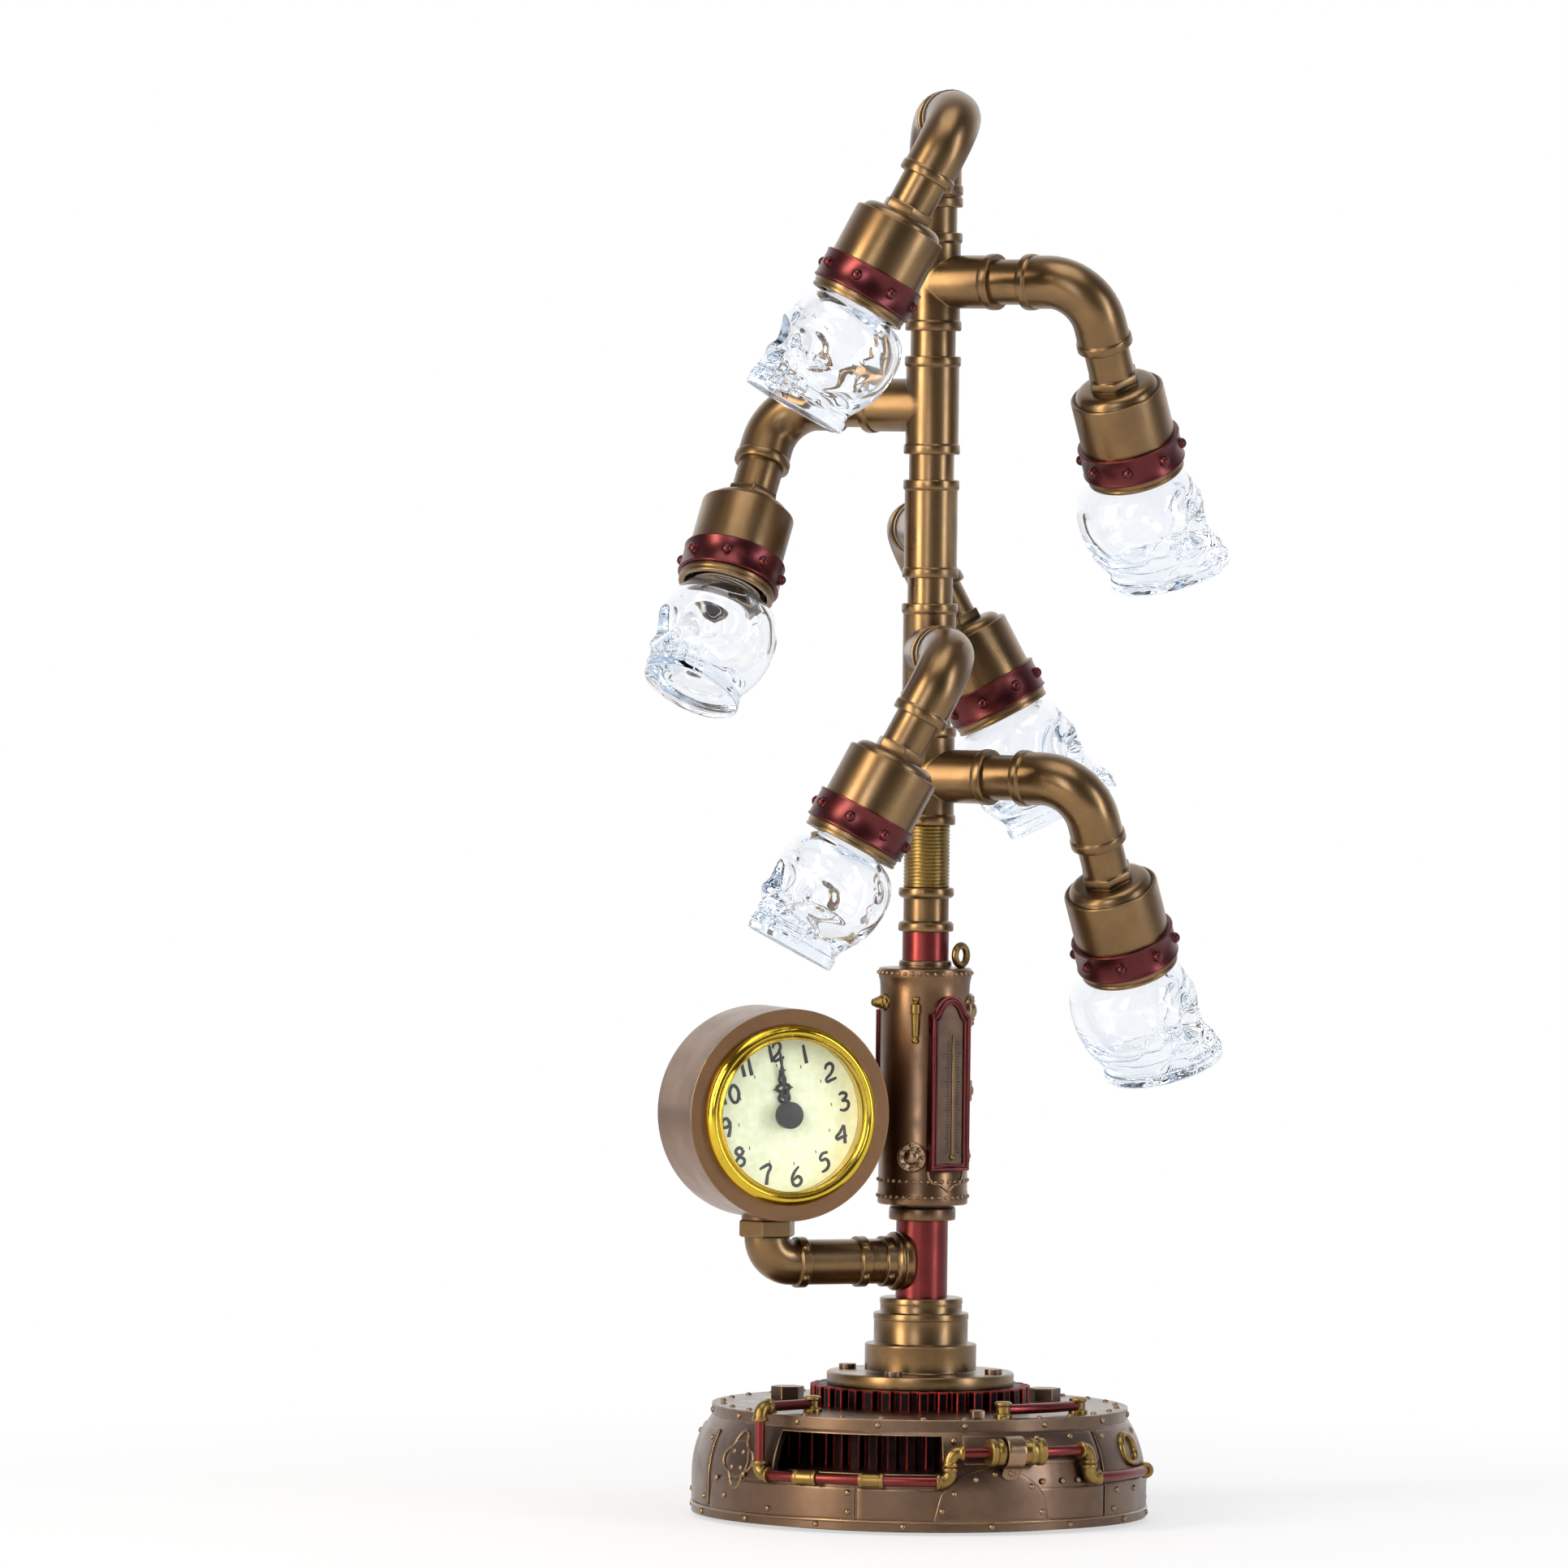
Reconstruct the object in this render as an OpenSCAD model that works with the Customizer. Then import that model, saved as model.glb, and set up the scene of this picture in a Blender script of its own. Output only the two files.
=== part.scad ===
// Pipe desk lamp: a riveted drum base, a pipe column with six swivel arms and a clock on a side branch.
// The column stands on the Z axis, the table is the plane z = 0 and the clock looks along -Y.
// An azimuth is counted from -Y towards +X, in degrees.

/* [Base drum] */
// Radius of the drum wall at its foot
drum_r = 76; // [74:0.5:80]
// How far the rim band round the deck stands in from the drum's foot
rim_set = 6; // [4:0.5:8]
// Height of the deck above the table
deck_z = 37.6; // [36.4:0.2:41]
// Height of the rim band
rim_h = 4; // [3.4:0.2:5]
// Height where the wall starts to curve inwards
wall_turn_z = 14; // [13:0.5:15]
// Thickness of the drum wall
wall_t = 2.4; // [2:0.1:3]
// Gap between the drum's edge and the table
foot_h = 1.2; // [0.8:0.1:2]
// Height of the band round the drum's foot
band_h = 3.2; // [2:0.2:4]
// How far the foot band stands out
band_out = 0.6; // [0.4:0.1:1]
// Thickness of the deck plate
deck_t = 2.2; // [1.6:0.1:3]
// Thickness of the bottom cover
cover_t = 2; // [1.6:0.1:2.4]

/* [Gear window] */
// Azimuth of the middle of the window
window_az = -39; // [-50:1:-30]
// Half of the angle that the window spans
window_half = 23; // [16:1:26]
// Height of the window's sill and of the shelf behind it
sill_z = 19.4; // [18:0.2:20.4]
// Tip radius of the gear behind the window
window_gear_r = 51; // [48:0.5:56]
// Height of the gear behind the window
window_gear_h = 12; // [8:0.5:12.5]
// Teeth of the gear behind the window
window_gear_teeth = 50; // [40:1:56]
// Depth of the gear teeth
tooth_depth = 3.4; // [2:0.2:4]

/* [Pedestal] */
// Tip radius of the gear under the pedestal
deck_gear_r = 37; // [35:0.5:40]
// Height of the gear under the pedestal
deck_gear_h = 6.7; // [5:0.1:8]
// Teeth of the gear under the pedestal
deck_gear_teeth = 36; // [30:1:40]
// Radius of the pedestal flange
flange_r = 31.5; // [30:0.5:33]
// Thickness of the pedestal flange
flange_h = 4.5; // [4:0.1:6]
// Radius of the lowest step
step_a_r = 18.8; // [18:0.1:20]
// Height of the lowest step
step_a_h = 9.5; // [7:0.1:12]
// Radius of the middle step
step_b_r = 16; // [15:0.1:17]
// Height of the middle step
step_b_h = 10.4; // [7:0.1:12]
// Radius of the top step
step_c_r = 13.9; // [12:0.1:14.5]
// Height of the top step
step_c_h = 5.1; // [4:0.1:8]

/* [Stem and boiler] */
// Radius of the copper stem
stem_r = 8.7; // [8.2:0.1:9.2]
// Height of the copper stem
stem_h = 26.1; // [24:0.1:30]
// Radius of the collar under the boiler
boiler_neck_r = 11.2; // [10.5:0.1:12.5]
// Height of the collar under the boiler
boiler_neck_h = 5.3; // [4:0.1:8]
// Radius of the boiler can
boiler_r = 15; // [14.5:0.1:16]
// Height of the boiler can
boiler_h = 79.5; // [76:0.5:90]
// How far the boiler's hoops stand out
hoop_out = 0.6; // [0.3:0.1:1]
// Radius of the collar on top of the boiler
boiler_cap_r = 8.8; // [8:0.1:10]
// Height of the collar on top of the boiler
boiler_cap_h = 2.5; // [2:0.1:4]
// Azimuth that the thermometer faces
thermo_az = 12; // [0:1:20]
// Width of the thermometer frame
thermo_w = 15; // [13:0.5:16]
// Gap between the thermometer's head and the boiler's top hoop
thermo_top_gap = 5.1; // [4:0.1:10]
// Height of the thermometer's foot above the boiler's bottom
thermo_up = 12; // [11:0.5:14]

/* [Column] */
// Radius of the red sleeve above the boiler
sleeve_r = 7.8; // [7:0.1:8.5]
// Height of the red sleeve
sleeve_h = 9.8; // [8:0.1:14]
// Width of the union's two collars
union_collar_w = 3; // [2.4:0.1:4]
// Pipe that shows between the union's collars
union_gap = 8.7; // [6:0.1:12]
// How much thinner the threaded brass sleeve is than the pipe
thread_inset = 0.15; // [0.05:0.05:0.4]
// Length of the threaded brass sleeve
thread_h = 21.1; // [16:0.1:26]
// Outer radius of the pipe nipples
pipe_r = 7.6; // [7.4:0.05:7.8]
// Bore radius of the pipes
pipe_bore_r = 4.5; // [4:0.1:5]
// Radius of a tee's run
tee_r = 8.7; // [8.5:0.05:9]
// Radius of a tee's branch and of the elbows
branch_r = 8.9; // [8.6:0.05:9.1]
// Radius of the collars on tees and elbows
collar_r = 9.5; // [9.3:0.05:10]
// Width of the collars on tees and elbows
collar_w = 3.4; // [2.6:0.1:4]
// From a tee's centre to either end of its run
half_run = 16.5; // [16:0.1:18]
// From the column's axis to the end of a branch
branch_reach = 25; // [24:0.5:28]
// Depth of the sockets in tees and elbows
socket_depth = 6; // [4:0.5:6.5]
// Pipe that shows between two tees
nipple_show = 8.5; // [8:0.1:11]
// From the top elbow's foot to its outlet axis
top_elbow_rise = 29; // [27:0.5:32]

/* [Arms] */
// Azimuth of the first, fifth and, turned about, the fourth arm
arm_az_a = -14.5; // [-20:0.5:-10]
// Azimuth of the second, sixth and, turned about, the third arm
arm_az_b = 38; // [34:0.5:44]
// Pipe that shows between a branch and its elbow
arm_show = 11; // [10:0.5:14]
// From an elbow's corner to either of its ends
elbow_reach = 24; // [23:0.5:27]
// Bend radius of the elbows
bend_r = 15.5; // [13:0.5:16]
// Angle that the heads stand swung out
head_swing = 28; // [20:1:34]
// Neck that shows between an elbow and the cup's nut
neck_show = 10.5; // [9:0.5:13]
// Height of the cup's nut
nut_h = 3.5; // [2.5:0.1:5]
// Corner radius of the cup's nut
nut_r = 9.2; // [8.8:0.1:10]
// Outer radius of the cup
cup_r = 15.9; // [15.4:0.1:17]
// Length of the cup from its shoulder to its lip
cup_len = 31.5; // [29:0.5:35]
// Wall of the cup
cup_wall = 1.5; // [1.2:0.1:1.8]
// Height of the lip at the cup's mouth
lip_h = 3.2; // [2.6:0.1:4]
// How far the lip stands out
lip_out = 0.5; // [0.3:0.1:1]
// Width of the studded band
stud_band_w = 10; // [8:0.5:12]
// Thickness of the studded band
stud_band_t = 1.6; // [1.2:0.1:2]
// Radius of a stud
stud_r = 1.7; // [1.2:0.1:2.2]
// Studs on one band
stud_count = 8; // [6:1:10]

/* [Glass skulls] */
// Height of the skull below the cup
skull_h = 39.5; // [37:0.5:42]
// Half of the skull's width
skull_half_w = 19.8; // [18:0.2:21]
// From the neck's axis to the brow
skull_front = 19; // [18:0.2:21]
// From the neck's axis to the back of the head
skull_back = 23.2; // [21:0.2:24]
// Outer radius of the glass mouth
mouth_r = 10.3; // [9.8:0.1:11]
// Length of the glass mouth inside the cup
mouth_h = 5; // [4:0.5:6]
// Wall of the glass at its mouth
glass_t = 2; // [1.6:0.1:2.4]

/* [Clock] */
// Height of the clock branch above the stem's foot
clock_arm_up = 12.2; // [11.6:0.1:14]
// From the column's axis to the clock's post
clock_reach = 56; // [54:0.5:62]
// Bend radius of the clock's elbow
clock_bend_r = 8.8; // [8.4:0.1:10]
// Height of the nut under the clock
post_nut_h = 5.8; // [4:0.1:8]
// Outer radius of the clock case
case_r = 35.5; // [34:0.5:37]
// Depth of the clock case
case_depth = 31; // [29:0.5:36]
// From the post's axis to the front of the case
case_front = 20; // [18:0.5:22]
// Radius of the case's bore and seat of the insert
insert_r = 27; // [26.6:0.1:27.4]
// Outer radius of the bezel
bezel_r = 30.3; // [29.5:0.1:32]
// How far the bezel stands in front of the case
bezel_h = 4.2; // [3.8:0.1:5]
// Length of the insert's sleeve inside the case
insert_len = 14; // [12:0.5:16]
// Depth of the dial behind the case's front
dial_in = 4.8; // [4.4:0.1:5.4]
// Turn of the insert in the case, anticlockwise
insert_turn = 7.5; // [0:0.5:15]
// Length of the minute hand
minute_len = 23.5; // [17:0.5:24]
// Length of the hour hand
hour_len = 15.5; // [10:0.5:18]
// Radius of the centre cap
cap_r = 4.5; // [3.5:0.1:5]

/* [Feed pipes] */
// Radius of the feed pipes
feed_r = 1.7; // [1.4:0.1:1.9]
// Radius of the feed fittings
feed_fit_r = 2.3; // [2:0.1:2.4]
// Bend radius of the feed elbows
feed_bend_r = 4; // [3.6:0.2:5]
// Height of the lower feed run
feed_low_z = 18; // [17:0.5:19]
// Height of the upper feed run
feed_high_z = 27.6; // [27:0.2:29]
// Azimuth of the pipe that comes down from the deck
feed_down_az = -64.5; // [-70:0.5:-63]
// Azimuth where the feed climbs beside the window
feed_up_az = -14.5; // [-15:0.5:-12]
// Azimuth of the valve
valve_az = 2; // [1:0.5:5]
// Azimuth where the feed drops again
feed_drop_az = 24; // [22:0.5:28]
// Azimuth where the feed enters the wall
feed_end_az = 56; // [50:1:60]
// Radius of the valve
valve_r = 4.6; // [4:0.1:5]
// Length of the valve
valve_len = 20; // [16:0.5:21]

/* [Switch and lead] */
// Radius of the hole for the mains lead
lead_r = 3.1; // [2.5:0.1:3.5]
// Length of the switch opening
switch_w = 13; // [12.4:0.1:14]
// Height of the switch opening
switch_h = 6.6; // [6.2:0.1:7]
// Angle between the rocker's two positions
rocker_travel = 16; // [10:1:18]

/* [Clearances] */
// Radial gap of a fixed fit
seat_gap = 0.02; // [0.01:0.01:0.05]
// Radial gap of a turning or sliding fit
run_gap = 0.05; // [0.03:0.01:0.08]
// Gap round loose or cast pieces
loose_gap = 0.3; // [0.2:0.05:0.4]

/* [Hidden] */
$fn = 64;
bronze = [0.52, 0.40, 0.24];
dark_bronze = [0.40, 0.31, 0.22];
red_metal = [0.62, 0.16, 0.16];
gold = [0.80, 0.62, 0.22];
black = [0.09, 0.07, 0.08];
arms = [1 : 6];

// Heights of the stack from the deck to the lowest tee
flange_z = deck_z + deck_gear_h;
step_a_z = flange_z + flange_h;
step_b_z = step_a_z + step_a_h;
step_c_z = step_b_z + step_b_h;
stem_z = step_c_z + step_c_h;
boiler_neck_z = stem_z + stem_h;
boiler_z = boiler_neck_z + boiler_neck_h;
boiler_top_z = boiler_z + boiler_h;
sleeve_z = boiler_top_z + boiler_cap_h;
union_z = sleeve_z + sleeve_h;
thread_z = union_z + 2 * union_collar_w + union_gap;
low_tee_z = thread_z + thread_h + half_run;
tee_pitch = 2 * half_run + nipple_show;
top_elbow_z = low_tee_z + 4 * tee_pitch + half_run + nipple_show;

// Base drum
rim_r = drum_r - rim_set;
rim_z = deck_z - rim_h;
wall_run = rim_z - wall_turn_z;
wall_draw = drum_r - rim_r;
wall_arc_r = (wall_run * wall_run + wall_draw * wall_draw) / (2 * wall_draw);
wall_arc_c = drum_r - wall_arc_r;
cover_z = foot_h + 0.4;
cover_r = drum_r - wall_t - loose_gap;
ledge_w = 5;
ledge_t = 1.6;
shelf_t = 2.2;
shelf_gap = 0.6;
shelf_r = drum_r - wall_t - ledge_w - shelf_gap;
window_gear_w = 9;
window_gear_in_r = window_gear_r - window_gear_w;
shelf_show = 2;
shelf_in_r = window_gear_in_r - shelf_show;
shelf_post_r = 3;
shelf_post_ring_r = (shelf_in_r + shelf_r) / 2;
shelf_post_az = [for (k = [0 : 3]) 65 + 90 * k];
rim_w = 4;
rim_in_r = rim_r - rim_w;
wall_reach = 12;
wall_in = drum_r - wall_reach;
window_head = 1.2;
pad_w = 42;
pad_out = 1.4;
pad_in = 4.5;
pad_z = cover_z + cover_t + ledge_t;
pad_h = 9;
pad_y = drum_r + pad_out;
pad_mid_z = pad_z + pad_h / 2;
wire_r = pipe_bore_r;
foot_pad_in = 10;
foot_pad_r = drum_r - foot_pad_in;
cover_screw_az = [for (k = [0 : 3]) 20 + 90 * k];
cover_screw_r = drum_r - wall_t - ledge_w / 2;
flange_bolt_az = [for (k = [0 : 3]) -42 + 90 * k];
flange_bolt_ring_r = (flange_r + step_a_r) / 2 + 1;
deck_bolt_az = [-133, 97];
deck_bolt_out = 11;
deck_bolt_ring_r = deck_gear_r + deck_bolt_out;
board_w = 40;
board_d = 26;
board_t = 1.6;
coil_size = [14, 12, 7];
coil_at = [-15, -8];
can_r = 4;
can_h = 8;
can_x = 8;
standoff_h = 3;
standoff_r = 2.2;

// Fittings
fit_bore_r = pipe_bore_r + 0.6;
socket_r = pipe_r + seat_gap;
thread_r = pipe_r - thread_inset;
union_collar_r = collar_r - 0.2;
swivel_end_gap = 0.3;
arm_reach = branch_reach + arm_show + elbow_reach;
arm_pin_in = socket_depth + 1.5;

// Heads, measured down from an elbow's corner
nut_z = elbow_reach + neck_show;
shoulder_h = 2.4;
shoulder_z = nut_z + nut_h + shoulder_h;
lip_z = shoulder_z + cup_len;
cup_roof_t = 2.6;
led_r = 9;
led_t = 1.6;
grip_t = 1.4;
grip_gap = 0.2;
grip_up = 0.7;
seat_t = 1.6;
web_t = 1.2;
web_up = 1.2;
shoulder_draw = 4;
band_top_z = lip_z - lip_h - stud_band_w;

// Clock, with its face frame at the front of the case
clock_arm_z = stem_z + clock_arm_up;
post_nut_z = clock_arm_z + clock_bend_r;
saddle_h = 0.4;
clock_z = post_nut_z + post_nut_h + saddle_h + case_r;
post_nut_r = 9.9;
bezel_sight_r = insert_r - 1.6;
sleeve_t = 1.3;
lens_t = 1.4;
lens_back = 1.4;
lens_r = bezel_sight_r + 0.8;
dial_t = 0.5;
dial_r = insert_r - sleeve_t - run_gap;
hand_t = 0.5;
hour_z = -dial_in + 0.5;
minute_z = hour_z + hand_t + 0.6;
arbor_r = 1.2;
tube_r = 2.2;
movement_t = 12.4;
movement_back = dial_in + dial_t + movement_t;
knob_r = 4;
knob_h = 4.6;
knob_gap = 0.4;
tube_in = 4;
hub_r = tube_r + 0.8;
cap_gap = 0.6;
post_r = pipe_r + 1;
post_in = 6;
cell_r = 5.8;
cell_h = 5.4;
cell_off = 14;
case_bore = case_depth - 2.5;

// Feed pipes
feed_ring_r = drum_r + feed_fit_r + 0.1;
feed_deck_z = deck_z + feed_fit_r + 0.4;
feed_turn = asin(feed_bend_r / feed_ring_r);
feed_plug = 1;
deck_run_in = 9;
deck_run_r = rim_r - deck_run_in;
deck_run_az = [5, 38];
tap_r = 3;
tap_in = 8;
tap_ring_r = deck_run_r - tap_in;
coupling_az = [feed_down_az + 11, feed_down_az + 28];
coupling_span = 6;
valve_ring_w = 4;
valve_ring_out = 0.6;

// Arm i: height of its axis, azimuth and side to which its head is swung (1 is an onlooker's right)
function arm_z(i) = i == 1 ? top_elbow_z + top_elbow_rise : low_tee_z + (6 - i) * tee_pitch;
function arm_az(i) = let (line = i == 1 || i == 4 || i == 5 ? arm_az_a : arm_az_b)
  i == 3 || i == 4 ? line + 180 : line;
function arm_side(i) = i == 1 || i == 4 || i == 5 ? -1 : 1;
// Turn of skull i about its own neck, away from looking straight out along the arm
function skull_turn(i) = [-55, 32, 85, -95, -35, 32][i - 1];

module at_arm(i) {
  translate([0, 0, arm_z(i)])
    rotate([0, 0, arm_az(i)])
      children();
}

module at_head(i) {
  at_arm(i)
    translate([0, -arm_reach, 0])
      rotate([0, -arm_side(i) * head_swing, 0])
        children();
}

// Face frame of the clock: +Z looks out of the dial, +Y is up
module at_clock() {
  translate([-clock_reach, -case_front, clock_z])
    rotate([90, 0, 0])
      children();
}

module at_insert() {
  at_clock()
    rotate([0, 0, insert_turn])
      children();
}

module at_azimuth(az, ring_r, z) {
  rotate([0, 0, az])
    translate([0, -ring_r, z])
      children();
}

// Round bar along Y from y0 to y1
module bar_y(r, y0, y1) {
  translate([0, y1, 0])
    rotate([90, 0, 0])
      cylinder(r = r, h = y1 - y0);
}

// Quarter bend whose legs leave along +Y and -Z
module bend(ring_r, r) {
  translate([0, ring_r, -ring_r])
    rotate([180, -90, 0])
      rotate_extrude(angle = 90)
        translate([ring_r, 0])
          circle(r = r);
}

module ring_z(r, hole_r, z0, z1) {
  translate([0, 0, z0])
    difference() {
      cylinder(r = r, h = z1 - z0);
      translate([0, 0, -1])
        cylinder(r = hole_r, h = z1 - z0 + 2);
    }
}

module gear(tip_r, teeth, hole_r, h) {
  root_r = tip_r - tooth_depth;
  pitch = 360 / teeth;
  // Each tooth has two root points and two tip points
  flank = [[-0.32, root_r], [-0.24, tip_r], [0.24, tip_r], [0.32, root_r]];
  outline = [
    for (k = [0 : teeth - 1], p = flank)
      let (a = (k + p[0]) * pitch)
      p[1] * [cos(a), sin(a)]
  ];
  difference() {
    linear_extrude(h)
      polygon(outline);
    translate([0, 0, -1])
      cylinder(r = hole_r, h = h + 2);
  }
}

// Column

module tee() {
  difference() {
    union() {
      translate([0, 0, -half_run])
        cylinder(r = tee_r, h = 2 * half_run);
      for (z = [-half_run, half_run - collar_w])
        translate([0, 0, z])
          cylinder(r = collar_r, h = collar_w);
      bar_y(branch_r, -branch_reach, 0);
      bar_y(collar_r, -branch_reach, collar_w - branch_reach);
    }
    translate([0, 0, -half_run - 1])
      cylinder(r = fit_bore_r, h = 2 * half_run + 2);
    for (z = [-half_run - 1, half_run - socket_depth])
      translate([0, 0, z])
        cylinder(r = socket_r, h = socket_depth + 1);
    bar_y(fit_bore_r, -branch_reach - 1, 0);
    bar_y(socket_r, -branch_reach - 1, socket_depth - branch_reach);
  }
}

// The column ends in an elbow whose foot is on its own Z axis and whose outlet looks along -Y
module top_elbow() {
  difference() {
    union() {
      mirror([0, 1, 0])
        bend(bend_r, branch_r);
      translate([0, 0, -top_elbow_rise])
        cylinder(r = branch_r, h = top_elbow_rise - bend_r);
      translate([0, 0, -top_elbow_rise])
        cylinder(r = collar_r, h = collar_w);
      bar_y(branch_r, -branch_reach, -bend_r);
      bar_y(collar_r, -branch_reach, collar_w - branch_reach);
    }
    mirror([0, 1, 0])
      bend(bend_r, fit_bore_r);
    translate([0, 0, -top_elbow_rise - 1])
      cylinder(r = fit_bore_r, h = top_elbow_rise - bend_r + 1);
    translate([0, 0, -top_elbow_rise - 1])
      cylinder(r = socket_r, h = socket_depth + 1);
    bar_y(fit_bore_r, -branch_reach - 1, -bend_r);
    bar_y(socket_r, -branch_reach - 1, socket_depth - branch_reach);
  }
}

module column_tees() {
  color(bronze) {
    at_arm(1)
      top_elbow();
    for (i = [2 : 6])
      at_arm(i)
        tee();
  }
}

module column_nipples() {
  color(bronze) {
    for (i = [2 : 6])
      ring_z(
        pipe_r,
        pipe_bore_r,
        arm_z(i) + half_run - socket_depth,
        arm_z(i) + half_run + nipple_show + socket_depth
      );
    for (i = arms)
      at_arm(i)
        difference() {
          bar_y(pipe_r, -branch_reach - arm_show - arm_pin_in, socket_depth - branch_reach);
          bar_y(pipe_bore_r, -branch_reach - arm_show - arm_pin_in - 1, socket_depth - branch_reach + 1);
        }
    union_piece();
  }
}

module union_piece() {
  top = thread_z - union_collar_w;
  difference() {
    union() {
      translate([0, 0, union_z])
        cylinder(r = pipe_r, h = thread_z - union_z);
      for (z = [union_z, top])
        translate([0, 0, z])
          cylinder(r = union_collar_r, h = union_collar_w);
    }
    translate([0, 0, union_z - 1])
      cylinder(r = pipe_bore_r, h = thread_z - union_z + 2);
  }
}

// Lower stem and the short sleeve above the boiler
module copper_stem() {
  color(red_metal) {
    ring_z(stem_r, pipe_bore_r, stem_z, boiler_neck_z);
    ring_z(sleeve_r, pipe_bore_r, sleeve_z, union_z);
  }
}

// Heads

module elbow(i) {
  color(bronze)
    at_head(i)
      difference() {
        union() {
          bend(bend_r, branch_r);
          bar_y(branch_r, bend_r, elbow_reach);
          bar_y(collar_r, elbow_reach - collar_w, elbow_reach);
          translate([0, 0, -elbow_reach])
            cylinder(r = branch_r, h = elbow_reach - bend_r);
          translate([0, 0, -elbow_reach])
            cylinder(r = collar_r, h = collar_w);
        }
        bend(bend_r, fit_bore_r);
        bar_y(fit_bore_r, bend_r, elbow_reach + 1);
        bar_y(pipe_r + run_gap, elbow_reach - arm_pin_in - swivel_end_gap, elbow_reach + 1);
        translate([0, 0, -elbow_reach - 1])
          cylinder(r = fit_bore_r, h = elbow_reach - bend_r + 1);
        translate([0, 0, -elbow_reach - 1])
          cylinder(r = socket_r, h = socket_depth + 1);
      }
}

// Neck, nut, cup and the ring inside its mouth that grips the glass
module cup(i) {
  inner_r = cup_r - cup_wall;
  roof_z = shoulder_z + cup_roof_t;
  grip_r = mouth_r + grip_gap;
  seat_z = lip_z - mouth_h;
  color(bronze)
    at_head(i)
      difference() {
        union() {
          translate([0, 0, -nut_z])
            cylinder(r = pipe_r, h = neck_show + socket_depth);
          translate([0, 0, -nut_z - nut_h])
            cylinder(r = nut_r, h = nut_h, $fn = 6);
          translate([0, 0, -shoulder_z])
            cylinder(r1 = cup_r, r2 = cup_r - shoulder_draw, h = shoulder_h);
          translate([0, 0, -lip_z])
            cylinder(r = cup_r, h = cup_len);
          translate([0, 0, -lip_z])
            cylinder(r = cup_r + lip_out, h = lip_h);
        }
        translate([0, 0, -nut_z - cup_len])
          cylinder(r = pipe_bore_r, h = cup_len + nut_z);
        difference() {
          translate([0, 0, -lip_z - 1])
            cylinder(r = inner_r, h = lip_z - roof_z + 1);
          translate([0, 0, -seat_z])
            cylinder(r = inner_r, h = seat_t);
          ring_z(grip_r + grip_t, grip_r, -lip_z + grip_up, -seat_z);
          for (a = [45, 135])
            rotate([0, 0, a])
              translate([-inner_r, -web_t / 2, -lip_z + web_up])
                cube([2 * inner_r, web_t, lip_z - seat_z - web_up]);
        }
        translate([0, 0, -seat_z - 1])
          cylinder(r = mouth_r - glass_t, h = seat_t + 2);
        translate([0, 0, -lip_z - 1])
          cylinder(r = grip_r, h = mouth_h + 1);
      }
}

module band(i) {
  color(red_metal)
    at_head(i)
      translate([0, 0, -band_top_z - stud_band_w])
        union() {
          ring_z(cup_r + stud_band_t, cup_r + seat_gap, 0, stud_band_w);
          for (k = [0 : stud_count - 1])
            rotate([0, 0, 360 * k / stud_count])
              translate([cup_r + stud_band_t, 0, stud_band_w / 2])
                difference() {
                  sphere(r = stud_r);
                  translate([-3 * stud_r - stud_band_t / 2, -stud_r - 1, -stud_r - 1])
                    cube([3 * stud_r, 2 * stud_r + 2, 2 * stud_r + 2]);
                }
        }
}

module led(i) {
  color([0.95, 0.93, 0.82])
    at_head(i)
      translate([0, 0, -shoulder_z - cup_roof_t - led_t])
        union() {
          cylinder(r = led_r, h = led_t);
          sphere(r = led_r / 3);
        }
}

// Rounded profile from 1 in the middle to 0 at either end
function dome(x, n) = pow(max(1 - pow(abs(x), n), 0), 1 / n);
function bump(x, width) = exp(-x * x / (width * width));

crown_mid = 0.36;
crown_span = 0.43;
jaw_span = 0.62;
jaw_half_w = 0.68;
jaw_front = 1.24;
jaw_back = 0.73;
eye_az = 29;
eye_spread = 15;
eye_half_h = 4.6;
eye_depth = 4.6;
nose_spread = 9;
nose_half_h = 3.2;
nose_depth = 2.6;
cheek_az = 54;
cheek_spread = 14;
cheek_half_h = 3;
cheek_rise = 1.8;
brow_az = 20;
brow_spread = 24;
brow_half_h = 2.4;
brow_rise = 1.2;
hollow_bulge = 4.2;
floor_drop = 1;
skull_sides = 30;
skull_rows = 15;

// Outer radius of the skull at the share t of its height and the angle a from its face
function skull_radius(t, a) =
  let (
    side = abs(a > 180 ? a - 360 : a),
    low = t > crown_mid,
    crown = dome((t - crown_mid) / (low ? jaw_span : crown_span), 2.3),
    wide = skull_half_w * (low ? max(crown, jaw_half_w) : crown),
    ahead = skull_front * (low ? 1 + (jaw_front - 1) * (t - crown_mid) / (1 - crown_mid) : crown),
    behind = skull_back * (low ? max(crown, jaw_back) : crown),
    reach = side < 90 ? ahead : behind,
    plain = 1 / sqrt(pow(cos(side) / reach, 2) + pow(sin(side) / wide, 2)),
    eye = eye_depth * bump(side - eye_az, eye_spread) * bump((t - 0.5) * skull_h, eye_half_h),
    nose = nose_depth * bump(side, nose_spread) * bump((t - 0.68) * skull_h, nose_half_h),
    cheek = cheek_rise * bump(side - cheek_az, cheek_spread) * bump((t - 0.64) * skull_h, cheek_half_h),
    brow = brow_rise * bump(side - brow_az, brow_spread) * bump((t - 0.36) * skull_h, brow_half_h)
  )
  plain - eye - nose + cheek + brow;

// Radius of the smooth hollow at the share t of the skull's height
function hollow_radius(t) = (mouth_r - glass_t) + hollow_bulge * dome((t - 0.4) / 0.41, 2);

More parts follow.
